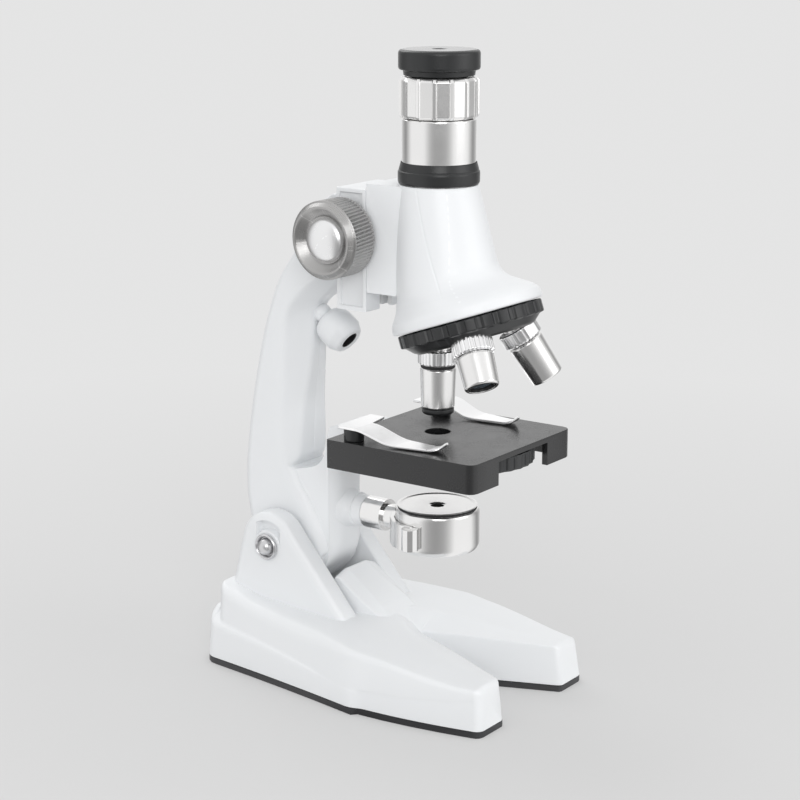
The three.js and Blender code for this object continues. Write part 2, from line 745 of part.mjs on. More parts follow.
// The belly in front of the arm's foot, which carries the stage and the lower lamp.
function bellyOutline(drawIn = 0) {
  return [
    point(44 - drawIn, stageBottom - 11.4 - drawIn),
    ...arc(pivotY, pivotHeight, armBottomRadius - 0.4 - drawIn, -0.9, -2.5, 6),
    point(bellyFrontY + 1.4 + drawIn, pivotHeight - 2.5 + drawIn * 0.5),
    point(bellyFrontY + drawIn, pivotHeight + 3),
    point(bellyFrontY + 0.3 + drawIn, lampHeight),
    point(bellyFrontY + drawIn, stageBottom - drawIn),
    point(bellyRearY, stageBottom - drawIn),
    point(bellyRearY + 0.8, stageBottom - 3.2 - drawIn),
    point(bellyRearY + 2.1, stageBottom - 5.6 - drawIn),
    point(bellyRearY + 4.4, stageBottom - 7.8 - drawIn),
    point(bellyRearY + 7.6, stageBottom - 9 - drawIn),
    point(bellyRearY + 13.6, stageBottom - 10.4 - drawIn),
  ].reverse();
}

// Sections of the rib up the front of the arm: height, half width of its front face, and where it stands.
const ribSections = [
  [75.2, 4.8, 38],
  [76.6, 6.6, 34.6],
  [80, 7.6, armFrontY + 0.4],
  [88, 7.1, armFrontY],
  [98, 5.9, 31.8],
  [107, 4.8, 30.6],
  [116, 3.8, 29.6],
  [124, 3.4, 29.5],
  [130.5, 3.4, 29.4],
  [134, 3.6, 27.5],
  [137, 3.8, 23.9],
  [140.4, 4, 20.3],
  [144, 4.4, 16.6],
  [147.2, 5, blockRearY + seatGap],
  [150, 5.6, blockRearY + seatGap],
];

function ribSkin(drawIn = 0, sections = ribSections) {
  return skin(
    sections.map(([drawnHeight, halfWidth, frontY]) => {
      const height = armLevel(drawnHeight);
      const half = Math.max(halfWidth - drawIn * 0.6, 1);
      const side = armHalfWidth - 0.4 - drawIn;
      const front = frontY + drawIn;
      const sideY = front + ribFlankDepth;
      const right = [
        point(half, front),
        point(half + 0.7, front + 0.6),
        point(side - 0.7, sideY - 1.4),
        point(side, sideY),
        point(side, sideY + 5),
      ];
      return raise([...right, ...mirrored(right)], height);
    }),
  );
}

// Outlines in Y and Z at stations along X, joined into one closed side-on body.
function sideLoft(halfWidth, roundings, outlineAt) {
  const stations = [
    ...roundings.map(([inset, drawIn]) => [inset - halfWidth, drawIn]),
    ...roundings.map(([inset, drawIn]) => [halfWidth - inset, drawIn]).reverse(),
  ];
  const rings = stations.map(([x, drawIn]) => outlineAt(drawIn).map((p) => new THREE.Vector3(p.x, p.y, x)));
  return skin(rings).rotateY(Math.PI / 2).rotateX(Math.PI / 2);
}

// Roundings of the long edges: distance in from the side face, and how much the outline is drawn in there.
const armRoundings = [
  [0, 2.6],
  [1, 0.8],
  [3, 0],
];
const bellyRoundings = [
  [0, 3.4],
  [1.2, 1.2],
  [4.6, 0],
];

function armSolid() {
  const wide = sideLoft(armHalfWidth, armRoundings, armWideOutline);
  const belly = sideLoft(bellyHalfWidth, bellyRoundings, bellyOutline);
  return join(wide, belly, ribSkin());
}

function armRoom() {
  const wide = sidePlate(armWideOutline(shellWall), armHalfWidth - shellWall - 0.4);
  const belly = sidePlate(bellyOutline(shellWall + 0.6), bellyHalfWidth - shellWall - 0.6);
  const rib = ribSkin(shellWall, ribSections.slice(2, -3).filter((_, i) => i % 3 === 0));
  return join(wide, belly, rib);
}

const armScrews = [
  ["arm_screw_upper", 44, 116],
  ["arm_screw_lower", 40, 76],
];

function armShells() {
  const room = cut(
    armRoom(),
    acrossPivot(pivotBoltRadius + 3, armHalfWidth, mediumRound),
    ...armScrews.map(([, y, z]) => {
      return alongX(rod(3.6, -armHalfWidth, armHalfWidth, smallRound)).translate(0, y, z);
    }),
  );
  const pivotHole = acrossPivot(pivotBoltRadius + seatGap, waistHalfWidth, smallRound);
  const lampHole = alongY(rod(lampRodRadius + seatGap, -30, 0, smallRound));
  lampHole.translate(0, bellyFrontY + 8, lampHeight);
  const stemHole = alongY(rod(spotStemRadius + seatGap, 0, spotStemLength + seatGap, smallRound));
  const cup = sphere(spotBallRadius + seatGap);
  const spotWell = join(cup, stemHole).translate(0, spotBallY, spotBallHeight);
  const wellHalfWidth = pinionHalfWidth + 1;
  const pinionWell = alongX(rod(pinionTipRadius + 2 * seatGap, -wellHalfWidth, wellHalfWidth, mediumRound));
  pinionWell.translate(0, driveY, driveHeight);
  const screwWells = armScrews.map(([, y, z]) => {
    const shank = rod(screwRadius + seatGap, -armHalfWidth + 4, armHalfWidth + 1, smallRound);
    const head = rod(screwHeadRadius + seatGap, armHalfWidth - 2.6, armHalfWidth + 1, smallRound);
    return alongX(join(shank, head)).translate(0, y, z);
  });
  const whole = cut(armSolid(), room, pivotHole, lampHole, spotWell, pinionWell, ...screwWells);
  const leftHalf = box(-overallHeight, 0, -overallHeight, overallHeight, 0, overallHeight);
  const rightHalf = box(0, overallHeight, -overallHeight, overallHeight, 0, overallHeight);
  return [common(whole, leftHalf), common(whole, rightHalf)];
}

// ---- Focus block: carries the shaft and guides the rack ----
const pinionPitchRadius = (pinionTeeth * gearModule) / 2;
const pinionTipRadius = pinionPitchRadius + 0.85 * gearModule;
const rackPitchY = driveY - pinionPitchRadius;
const rackToothTipY = rackPitchY + 0.75 * gearModule;
const rackToothRootY = rackPitchY - 1.05 * gearModule;
const rackFlangeFrontY = rackToothRootY - rackFlangeThickness;

function focusBlock() {
  const body = box(-blockHalfWidth, blockHalfWidth, blockFrontY, blockRearY, blockBottom, blockTop);
  const panels = [-1, 1].map((side) => {
    const face = side * blockHalfWidth;
    const border = blockPanelBorder;
    const bounds = [blockFrontY + border, blockRearY - border, blockBottom + border, blockTop - border];
    return box(face - blockPanelRecess, face + blockPanelRecess, ...bounds);
  });
  const neckSlot = box(
    -rackNeckHalfWidth - seatGap,
    rackNeckHalfWidth + seatGap,
    blockFrontY - 1,
    rackFlangeFrontY,
    blockBottom - 1,
    blockTop + 1,
  );
  const flangeSlot = box(
    -rackFlangeHalfWidth - seatGap,
    rackFlangeHalfWidth + seatGap,
    rackFlangeFrontY - seatGap,
    rackToothRootY + seatGap,
    blockBottom - 1,
    blockTop + 1,
  );
  const toothSlot = box(
    -pinionHalfWidth - seatGap,
    pinionHalfWidth + seatGap,
    rackToothRootY,
    rackToothTipY + seatGap,
    blockBottom - 1,
    blockTop + 1,
  );
  const roomHalfWidth = pinionHalfWidth + seatGap;
  const pinionRoom = rod(pinionTipRadius + seatGap, -roomHalfWidth, roomHalfWidth, mediumRound);
  const shaftHole = rod(focusShaftRadius + seatGap, -blockHalfWidth - 1, blockHalfWidth + 1, smallRound);
  const drive = alongX(join(pinionRoom, shaftHole)).translate(0, driveY, driveHeight);
  return cut(body, ...panels, neckSlot, flangeSlot, toothSlot, drive);
}

function pinion() {
  const outline = [];
  const rootRadius = pinionPitchRadius - gearModule;
  const halfPitchAngle = Math.PI / pinionTeeth / 2 - gearBacklash / 2 / pinionPitchRadius;
  for (let tooth = 0; tooth < pinionTeeth; tooth++) {
    const middle = (tooth * 2 * Math.PI) / pinionTeeth;
    const spots = [
      [rootRadius, -1.35 * halfPitchAngle],
      [pinionPitchRadius, -halfPitchAngle],
      [pinionTipRadius, -0.45 * halfPitchAngle],
      [pinionTipRadius, 0.45 * halfPitchAngle],
      [pinionPitchRadius, halfPitchAngle],
      [rootRadius, 1.35 * halfPitchAngle],
    ];
    for (const [radius, angle] of spots) {
      outline.push(point(radius * Math.cos(middle + angle), radius * Math.sin(middle + angle)));
    }
  }
  const bore = rod(focusShaftRadius + 0.05, -pinionHalfWidth - 1, pinionHalfWidth + 1, smallRound);
  return cut(plate(outline, -pinionHalfWidth, pinionHalfWidth), bore);
}

const rackBottom = carriageBottom + 1;
const rackTop = carriageTop - 4;

// The rack's teeth face the pinion. One tooth stands level with the pinion's axis, between two of its teeth.
function rack() {
  const pitch = Math.PI * gearModule;
  const halfTooth = pitch / 4 - gearBacklash / 2;
  const outline = [point(rackFlangeFrontY, rackBottom)];
  const teeth = Math.floor((rackTop - rackBottom) / pitch);
  const firstTooth = driveHeight - pitch * Math.floor((driveHeight - rackBottom) / pitch - 0.5);
  for (let tooth = 0; tooth < teeth - 1; tooth++) {
    const middle = firstTooth + tooth * pitch;
    outline.push(point(rackToothRootY, middle - halfTooth - 0.25));
    outline.push(point(rackToothTipY, middle - halfTooth + 0.2));
    outline.push(point(rackToothTipY, middle + halfTooth - 0.2));
    outline.push(point(rackToothRootY, middle + halfTooth + 0.25));
  }
  outline.push(point(rackToothRootY, rackTop), point(rackFlangeFrontY, rackTop));
  outline.splice(1, 0, point(rackToothRootY, rackBottom));
  const teethBar = sidePlate(outline, pinionHalfWidth - 0.2);
  const flange = box(
    -rackFlangeHalfWidth,
    rackFlangeHalfWidth,
    rackFlangeFrontY,
    rackToothRootY,
    rackBottom,
    rackTop,
  );
  const neck = box(-rackNeckHalfWidth, rackNeckHalfWidth, 0, rackFlangeFrontY + 0.1, rackBottom, rackTop);
  return join(flange, neck, teethBar);
}

// Turned about Z with the face towards +Z: a fluted rim, a narrower face, a bright lip and a dish.
function focusKnob() {
  const rimEnd = knobLength - 2;
  const dishFloor = knobLength - knobDishDepth;
  const fluted = plate(ridgedOutline(knobRadius, knobFluteDepth, knobFlutes), 0, rimEnd);
  const face = turned(
    [
      point(0, 0.5),
      point(knobFaceRadius - 0.4, 0.5),
      point(knobFaceRadius - 0.4, rimEnd - 0.1),
      point(knobFaceRadius, rimEnd - 0.1),
      point(knobLipRadius + 0.3, knobLength),
      point(0, knobLength),
    ],
    largeRound,
  );
  const dish = rod(knobCapRadius + 2 * seatGap, dishFloor, knobLength + 0.1, largeRound, knobLipRadius - 0.6);
  const capSeat = rod(knobCapRadius - 1.2, dishFloor - 1.5, knobLength, mediumRound);
  const bore = rod(focusShaftRadius + seatGap / 3, -1, knobLength - 6, smallRound);
  return cut(join(fluted, face), dish, capSeat, bore);
}

function knobCap() {
  const base = knobLength - knobDishDepth + seatGap / 3;
  const crown = new THREE.SplineCurve([
    point(knobCapRadius, base),
    point(knobCapRadius * 0.93, base + 1.1),
    point(knobCapRadius * 0.6, base + 2.5),
    point(0, base + 3.1),
  ]);
  const stub = knobCapRadius - 1.5 - seatGap;
  const foot = [point(0, base - 1), point(stub, base - 1), point(stub, base)];
  return turned([...foot, ...crown.getPoints(4)], mediumRound);
}

// ---- Stage ----
// A rectangle with rounded corners, which may be rounder at the front than at the rear.
function roundedRectangle(x0, x1, y0, y1, front, rear) {
  const quarter = Math.PI / 2;
  return [
    ...arc(x1 - front, y0 + front, front, -quarter, 0, 3),
    ...arc(x1 - rear, y1 - rear, rear, 0, quarter, 2),
    ...arc(x0 + rear, y1 - rear, rear, quarter, 2 * quarter, 2),
    ...arc(x0 + front, y0 + front, front, 2 * quarter, 3 * quarter, 3),
  ];
}

const stageUnder = stageTop - stageTopThickness;
const shelfTop = stageUnder - bracketShelfDrop - seatGap;
const wheelTop = stageUnder - seatGap;
const wheelY = stageFrontY + wheelRadius - wheelProud;
const wheelHoleOrbit = opticY - wheelY;

function stagePlate() {
  const reach = stageSkirtThickness;
  const corners = [stageFrontCorner, stageRearCorner];
  const outer = roundedRectangle(-stageHalfWidth, stageHalfWidth, stageFrontY, stageRearY, ...corners);
  const inner = roundedRectangle(
    -stageHalfWidth + reach,
    stageHalfWidth - reach,
    stageFrontY + reach,
    stageRearY - reach,
    stageFrontCorner - reach,
    stageRearCorner / 2,
  );
  const tray = cut(plate(outer, stageBottom, stageTop), plate(inner, stageBottom - 1, stageUnder));
  const notch = box(
    -stageNotchHalfWidth,
    stageNotchHalfWidth,
    stageFrontY - 1,
    stageFrontY + reach + 1,
    stageBottom - 1,
    stageUnder,
  );
  const lightHole = rod(stageHoleRadius, 0, stageTop + 1, mediumRound).translate(0, opticY, 0);
  const axleHole = rod(screwRadius + seatGap, 0, stageTop - 0.8, smallRound).translate(0, wheelY, 0);
  const bracketNotch = box(
    -bracketHalfWidth - seatGap,
    bracketHalfWidth + seatGap,
    stageRearY - reach - 1,
    stageRearY + 1,
    stageBottom - 1,
    stageUnder - bracketShelfDrop,
  );
  const postHoles = [-1, 1].map((side) => {
    const hole = rod(screwRadius + seatGap, stageUnder - 1, stageTop + 1, smallRound);
    return hole.translate(side * clipPostX, clipPostY, 0);
  });
  return cut(tray, notch, lightHole, axleHole, bracketNotch, ...postHoles);
}

// Holes of falling size ride round the wheel. The largest stands on the optical axis at rest.
function apertureWheel() {
  const outline = ridgedOutline(wheelRadius, wheelFluteDepth, wheelFlutes);
  const disc = plate(outline, wheelTop - wheelThickness, wheelTop);
  const holes = apertureRadii.map((radius, i) => {
    const angle = Math.PI / 2 + (i * 2 * Math.PI) / apertureRadii.length;
    const hole = rod(radius, 0, stageTop, smallRound);
    return hole.translate(wheelHoleOrbit * Math.cos(angle), wheelHoleOrbit * Math.sin(angle), 0);
  });
  return cut(disc, rod(screwRadius + seatGap, 0, stageTop, smallRound), ...holes).translate(0, wheelY, 0);
}

// The bracket stands on the belly's top, behind the stage. Its shelf and lug lie under the stage.
function stageBracket() {
  const frontY = stageRearY + seatGap;
  const foot = stageBottom + seatGap;
  const block = sidePlate(
    [
      point(frontY, foot),
      point(bellyRearY - 0.1, foot),
      point(bellyRearY - 0.1, stageBottom + 2.5),
      point(bellyRearY - 1.4, stageTop - 2.8),
      point(bellyRearY - 3.8, stageTop - 1.9),
      point(bellyRearY - 7, stageTop - 0.9),
      point(frontY, stageTop - 0.6),
    ],
    bracketHalfWidth,
    0.8,
    1,
  );
  const shelfFrontY = stageRearY - stageSkirtThickness - 1;
  const shelf = box(-bracketHalfWidth, bracketHalfWidth, shelfFrontY, frontY + 3, foot, shelfTop);
  const lugHalfWidth = bracketHalfWidth - 2;
  const lug = box(-lugHalfWidth, lugHalfWidth, stageRearY - 7, shelfFrontY + 0.1, shelfTop - 1.4, shelfTop);
  return join(block, shelf, lug);
}

function clipPost() {
  const post = turned(
    [
      point(0, seatGap / 3),
      point(clipPostRadius, seatGap / 3),
      point(clipPostRadius, clipPostHeight - 0.3),
      point(clipPostRadius - 1.4, clipPostHeight - 0.3),
      point(clipPostRadius - 1.4, clipPostHeight + clipThickness - 0.2),
      point(clipPostRadius - 1.7, clipPostHeight + clipThickness),
      point(0, clipPostHeight + clipThickness),
    ],
    16,
  );
  return join(post, rod(screwRadius, -stageTopThickness + 0.4, 0.5, smallRound));
}

// Plan of the left clip, about its post: a wide head across the stage and a long leaf to the front.
const clipPlan = (reach) => [
  [-3.2, 3.2],
  [-3.6, -6.8],
  [-2.2, -15.5],
  [0.5, -32],
  [2.9, clipTipY - clipPostY],
  [4.9, clipTipY - clipPostY + 0.4],
  [6.2, -32.8],
  [8, -15],
  [6.8, -2.6],
  [reach - 0.4, -0.6],
  [reach, 5],
  [-1.8, 5.2],
];

function clip(side) {
  const low = stageTop + seatGap;
  const high = stageTop + clipPostHeight;
  const under = [
    point(clipPostY + 8, high),
    point(clipPostY - 5, high),
    point(clipPostY - 15.5, low),
    point(clipTipY + 5.5, low),
    point(clipTipY + 2.5, low + 0.7),
    point(clipTipY - 0.5, low + 2.9),
  ];
  const over = under.map((p, i) => point(p.x - (i > 3 ? 0.5 : 0), p.y + clipThickness)).reverse();
  const leaf = sidePlate([...under, ...over].reverse(), stageHalfWidth + 10);
  const reach = side < 0 ? leftClipReach : rightClipReach;
  const left = clipPlan(reach).map(([x, y]) => point(x - clipPostX, y + clipPostY));
  const outline = plate(side < 0 ? left : mirrored(left), stageTop, stageTop + 12);
  const hole = rod(clipPostRadius - 1.4 + seatGap, stageTop, stageTop + 12, smallRound);
  return cut(common(leaf, outline), hole.translate(side * clipPostX, clipPostY, 0));
}

// ---- Lower lamp ----
function lampYoke() {
  const bandInner = drumRadius + seatGap;
  const bandOuter = bandInner + yokeBandThickness;
  const rearHalf = box(-40, 40, 0, 40, 0, 100);
  const hoop = ring(bandOuter, bandInner, yokeBandBottom, yokeBandTop, largeRound);
  const band = common(hoop, rearHalf).translate(0, opticY, 0);
  const pillars = [-1, 1].map((side) => {
    const pillar = rod(yokePillarRadius, yokeBandBottom + 1.2, yokeBandTop - 0.2, smallRound);
    return pillar.translate(side * (bandInner + 1.6), opticY, 0);
  });
  const drumRoom = rod(bandInner, 0, 100, largeRound).translate(0, opticY, 0);
  const alongShaft = (radius, from, to, segments = largeRound) => {
    return alongY(rod(radius, from, to, segments)).translate(0, 0, lampHeight);
  };
  const neck = alongShaft(lampNeckRadius, opticY + drumRadius - 2, lampCollarFrontY + 0.2);
  const collar = alongShaft(lampCollarRadius, lampCollarFrontY, lampCollarRearY);
  const rodEnd = alongShaft(lampRodRadius, lampCollarRearY - 0.2, bellyFrontY + 5, smallRound);
  return join(cut(join(band, ...pillars, neck), drumRoom), collar, rodEnd);
}

function lampDrum() {
  const bottom = lampHeight - drumHeight / 2;
  const top = bottom + drumHeight;
  const inner = drumRadius - drumWall - 1.6;
  const ledge = top - lampCoverThickness - 0.6;
  return turned(
    [
      point(drumRadius - 4.5, bottom),
      point(drumRadius - drumFloorRadius, bottom),
      point(drumRadius - 0.6, bottom + 0.8),
      point(drumRadius, bottom + drumFloorRadius),
      point(drumRadius, top - 0.9),
      point(drumRadius - 0.7, top),
      point(lampCoverRadius + seatGap, top),
      point(lampCoverRadius + seatGap, ledge),
      point(inner, ledge),
      point(inner, bottom + 3),
      point(drumRadius - 4.5, bottom + 3),
      point(drumRadius - 4.5, bottom),
    ],
    largeRound,
  );
}

// ---- Upper lamp ----
// The knuckle is a short stem from the arm with a round end, on which the lamp's head turns.
const spotAim = Math.atan2(spotBallHeight - stageTop, spotBallY - opticY);

function buildSpot() {
  const stem = alongY(rod(spotStemRadius, 0, spotStemLength, smallRound));
  const ball = sphere(spotBallRadius);
  const place = [0, spotBallY, spotBallHeight];
  add(arm, "spot_knuckle", "whitePlastic", join(ball, stem), place);
  const lamp = new THREE.Group();
  lamp.position.set(...place);
  lamp.rotation.x = Math.PI / 2 + spotAim;
  arm.add(lamp);
  const shell = turned(
    [
      point(0, spotBackStart),
      point(spotBallRadius + 0.2, spotBackStart),
      point(spotRadius, spotBackStart + 2.4),
      point(spotRadius, spotLength - 2.4),
      point(spotRadius - 1.6, spotLength),
      point(spotBoreRadius, spotLength),
      point(spotBoreRadius, 7),
      point(0, 7),
    ],
    mediumRound,
  );
  const cup = sphere(spotBallRadius + seatGap);
  add(lamp, "spot_head", "whitePlastic", cut(shell, cup));
  const bulb = sphere(2.5).translate(0, 0, 10.5);
  const flange = rod(spotBoreRadius - seatGap, 7 + seatGap, 8.6, smallRound);
  const led = join(flange, rod(2.5, 8.5, 10.5, smallRound), bulb);
  add(lamp, "spot_led", "lampDome", led);
}

// ---- Everything that turns about the tilt pivot, apart from the head ----
function buildArm() {
  microscope.add(arm);
  const [left, right] = armShells();
  add(arm, "arm_left_shell", "whitePlastic", left);
  add(arm, "arm_right_shell", "whitePlastic", right);
  armScrews.forEach(([name, y, z]) => {
    const fastener = alongX(screw(armHalfWidth + 2));
    add(arm, name, "screwSteel", fastener, [armHalfWidth - 2.6 + seatGap / 2, y, z]);
  });
  buildFocusDrive();
  buildStage();
  buildLamp();
  buildSpot();
}

function buildFocusDrive() {
  add(arm, "focus_block", "whitePlastic", focusBlock());
  const drive = new THREE.Group();
  drive.position.set(0, driveY, driveHeight);
  arm.add(drive);
  const knobX = blockHalfWidth + 1.3;
  const shaftReach = knobX + knobLength - 6 - seatGap;
  add(drive, "focus_shaft", "screwSteel", alongX(rod(focusShaftRadius, -shaftReach, shaftReach, smallRound)));
  add(drive, "focus_pinion", "brass", alongX(pinion()));
  for (const [name, side] of [["left", -1], ["right", 1]]) {
    const knob = focusKnob().rotateY((side * Math.PI) / 2);
    add(drive, "focus_knob_" + name, "brushedSteel", knob, [side * knobX, 0, 0]);
    const cap = knobCap().rotateY((side * Math.PI) / 2);
    add(drive, "knob_cap_" + name, "chrome", cap, [side * knobX, 0, 0]);
  }
}

function buildStage() {
  add(arm, "stage_bracket", "whitePlastic", stageBracket());
  add(arm, "stage_plate", "blackPlastic", stagePlate());
  add(arm, "aperture_wheel", "blackPlastic", apertureWheel());
  const wheelUnder = wheelTop - wheelThickness - seatGap;
  const axle = screw(stageTop - 1.2 - wheelUnder).rotateX(Math.PI);
  add(arm, "aperture_screw", "screwSteel", axle, [0, wheelY, wheelUnder]);
  for (const [name, side] of [["left", -1], ["right", 1]]) {
    add(arm, "clip_post_" + name, "blackPlastic", clipPost(), [side * clipPostX, clipPostY, stageTop]);
    add(arm, "stage_clip_" + name, "chrome", clip(side));
  }
}

function buildLamp() {
  const socket = turned(
    [
      point(lampRodRadius + seatGap, 0),
      point(lampSocketRadius, 0),
      point(lampSocketRadius - 0.7, bellyFrontY - lampCollarRearY - 2 * seatGap),
      point(lampRodRadius + seatGap, bellyFrontY - lampCollarRearY - 2 * seatGap),
      point(lampRodRadius + seatGap, 0),
    ],
    largeRound,
  );
  socket.rotateX(Math.PI / 2);
  add(arm, "lamp_socket", "whitePlastic", socket, [0, bellyFrontY - seatGap, lampHeight]);
  add(arm, "lamp_yoke", "chrome", lampYoke());
  const bottom = lampHeight - drumHeight / 2;
  const top = bottom + drumHeight;
  const drum = new THREE.Group();
  drum.position.set(0, opticY, 0);
  arm.add(drum);
  add(drum, "lamp_drum", "chrome", lampDrum());
  const coverTop = top - seatGap;
  const cover = turned(
    [
      point(lampHoleRadius, coverTop - lampCoverThickness),
      point(lampCoverRadius, coverTop - lampCoverThickness),
      point(lampCoverRadius, coverTop - 0.4),
      point(lampCoverRadius - 0.5, coverTop),
      point(lampHoleRadius, coverTop),
      point(lampHoleRadius, coverTop - lampCoverThickness),
    ],
    largeRound,
  );
  add(drum, "lamp_cover", "chrome", cover);
  const mirrorRadius = drumRadius - drumWall - 1.6 - seatGap;
  const mirrorLow = bottom + 3 + seatGap;
  add(drum, "lamp_mirror", "mirror", rod(mirrorRadius, mirrorLow, mirrorLow + 1.5, largeRound));
  const ledLow = mirrorLow + 1.5 + seatGap;
  const bulb = sphere(2.5).translate(0, 0, top - 5);
  const flange = rod(4, ledLow, ledLow + 1.6, smallRound);
  add(drum, "lamp_led", "lampDome", join(flange, rod(2.5, ledLow + 1.5, top - 5, smallRound), bulb));
}

// ---- Head ----
// Rings of the head's skin, from the rim up: how far the centre stands in front of the optical axis, how far
// it lies below the collar, the radius and the tilt as a share of the turret's tilt.
const headRings = [
  [12.9, 46.7, headRimRadius, 1],
  [12.1, 44.4, headRimRadius + 0.5, 1],
  [11, 40.9, headRimRadius - 0.1, 1],
  [9.9, 38.9, headRimRadius - 2, 0.97],
  [7.9, 37.1, headRimRadius - 4.2, 0.92],
  [5.5, 34.7, headRimRadius - 6.6, 0.85],
  [3.8, 30.7, 17.8, 0.72],
  [2.7, 24.1, 16.9, 0.5],
  [1.5, 14.1, 15.6, 0.25],
  [0, 0, headTopRadius, 0],
];

function headSkin(grow, rings = headRings) {
  const around = largeRound;
  return skin(
    rings.map(([forward, drop, radius, tiltShare]) => {
      const height = collarBottom - drop;
      const tilt = turretTilt * tiltShare;
      return Array.from({ length: around }, (_, i) => {
        const angle = (i * 2 * Math.PI) / around;
        const along = (radius + grow) * Math.sin(angle);
        return new THREE.Vector3(
          (radius + grow) * Math.cos(angle),
          opticY - forward + along * Math.cos(tilt),
          height - along * Math.sin(tilt),
        );
      });
    }),
  );
}

// Anything drawn about the turret's axis is placed by this group: its origin is where all four axes meet.
const turretPlace = [0, opticY, turretApexHeight];

function inTurretFrame(geometry) {
  return geometry.rotateX(-turretTilt).translate(...turretPlace);
}

function headHousing() {
  const outer = headSkin(0, headRings.slice(1));
  const topInside = headRings.slice(0, -1);
  const room = headSkin(-shellWall, [...topInside, [0.9, headBoreDepth, 15.1, 0.1]]);
  const bore = rod(tubeRadius + seatGap, collarBottom - headBoreDepth - 3, collarBottom + 1, largeRound);
  bore.translate(0, opticY, 0);
  return cut(outer, room, bore);
}

function headCarriage() {
  const body = box(
    -blockHalfWidth,
    blockHalfWidth,
    carriageFrontY,
    blockFrontY - seatGap,
    carriageBottom,
    carriageTop,
  );
  return cut(body, headSkin(seatGap));
}

function nosepiecePlate() {
  const top = -headRimDistance + 2.2;
  const disc = rod(headRimRadius - shellWall - 2 * seatGap, -headRimDistance + seatGap / 2, top, largeRound);
  const light = rod(5, -headRimDistance - 12, -20, mediumRound).rotateX(turretTilt);
  const screwHole = rod(turretScrewRadius + seatGap, -headRimDistance - 1, top + 1, smallRound);
  return inTurretFrame(cut(disc, light, screwHole));
}

const turretTop = -headRimDistance - seatGap;
const turretRimBottom = turretTop - turretRimThickness;
const turretBottom = turretRimBottom - turretConeDepth;
const neckRadius = 4.6;

function turretDisc() {
  const rim = plate(flutedOutline(turretRadius, turretFluteDepth, turretFlutes), turretRimBottom, turretTop);
  const coneTopRadius = turretRadius - turretFluteDepth - 0.6;
  const cone = rod(turretHubRadius, turretBottom, turretRimBottom + 0.1, largeRound, coneTopRadius);
  const seats = [];
  const holes = [];
  const collarRoom = objectiveCollarRadius + seatGap;
  for (let i = 0; i < objectiveCount; i++) {
    const spin = (i * 2 * Math.PI) / objectiveCount;
    const onAxis = (geometry) => geometry.rotateX(turretTilt).rotateZ(spin);
    const seatBottom = seatGap - objectiveCollarTop;
    seats.push(onAxis(rod(objectiveCollarRadius, seatBottom, -headRimDistance - 4, mediumRound)));
    holes.push(onAxis(rod(neckRadius + seatGap, -objectiveCollarTop - 1, -20, mediumRound)));
    holes.push(onAxis(rod(collarRoom, -objectiveCollarTop - 9, -objectiveCollarTop + seatGap, mediumRound)));
  }
  const screwHole = rod(turretScrewRadius + seatGap, turretBottom - 1, turretTop + 1, smallRound);
  const slab = rod(60, turretTop, 0, largeRound);
  return cut(join(rim, cone, ...seats), slab, screwHole, ...holes);
}

function buildTurret(head) {
  const turret = new THREE.Group();
  turret.position.set(...turretPlace);
  turret.rotation.x = -turretTilt;
  head.add(turret);
  add(turret, "turret_disc", "blackPlastic", turretDisc());
  const shankLength = turretRimThickness + turretConeDepth + 2.2 + seatGap;
  const bolt = screw(shankLength, turretScrewRadius, turretScrewRadius + 2).rotateX(Math.PI);
  add(turret, "turret_screw", "screwSteel", bolt, [0, 0, turretBottom - seatGap]);
  ["a", "b", "c"].forEach((letter, i) => {
    const spinner = new THREE.Group();
    spinner.rotation.z = (i * 2 * Math.PI) / objectiveCount;
    const axis = new THREE.Group();
    axis.rotation.x = turretTilt;
    spinner.add(axis);
    turret.add(spinner);
    buildObjective(axis, "objective_" + letter, objectiveTips[i]);
  });
}

// Drawn about its own axis, hanging down from the point where the axes meet.
function buildObjective(parent, name, tip) {
  const collarBottomZ = -objectiveCollarTop - objectiveCollarLength;
  const outline = ridgedOutline(objectiveCollarRadius, 0.6, objectiveFlutes);
  const bore = rod(neckRadius + seatGap, collarBottomZ - 1, 0, mediumRound);
  const collar = cut(plate(outline, collarBottomZ, -objectiveCollarTop), bore);
  add(parent, name + "_collar", "chrome", collar);
  const shoulder = collarBottomZ - seatGap;
  const neckTop = turretTop - 4.5;
  const lensSeat = barrelBoreRadius + 0.8;
  const barrel = turned(
    [
      point(lensSeat, -tip),
      point(barrelTipRadius - 0.7, -tip),
      point(barrelTipRadius, -tip + 1),
      point(barrelTopRadius, shoulder - 0.5),
      point(barrelTopRadius - 0.5, shoulder),
      point(neckRadius, shoulder),
      point(neckRadius, neckTop),
      point(barrelBoreRadius, neckTop),
      point(barrelBoreRadius, -tip + lensThickness + 0.6),
      point(lensSeat, -tip + lensThickness + 0.6),
      point(lensSeat, -tip),
    ],
    mediumRound,
  );
  add(parent, name + "_barrel", "chrome", barrel);
  const lensRadius = lensSeat - seatGap;
  const lensBack = -tip + lensThickness + 0.6 - seatGap;
  const lens = turned(
    [
      point(0, lensBack - lensThickness),
      point(lensRadius * 0.6, lensBack - lensThickness + 0.2),
      point(lensRadius, lensBack - 0.8),
      point(lensRadius, lensBack),
      point(0, lensBack),
    ],
    smallRound,
  );
  add(parent, name + "_lens", "glass", lens);
}

// ---- Eyepiece ----
function ocularTube() {
  return turned(
    [
      point(tubeBoreRadius, tubeBottom),
      point(tubeRadius, tubeBottom),
      point(tubeRadius, tubeShoulder - 0.4),
      point(tubeRadius - 0.4, tubeShoulder),
      point(spigotRadius, tubeShoulder),
      point(spigotRadius, zoomRingTop),
      point(tubeBoreRadius, zoomRingTop),
      point(tubeBoreRadius, tubeBottom),
    ],
    largeRound,
  );
}

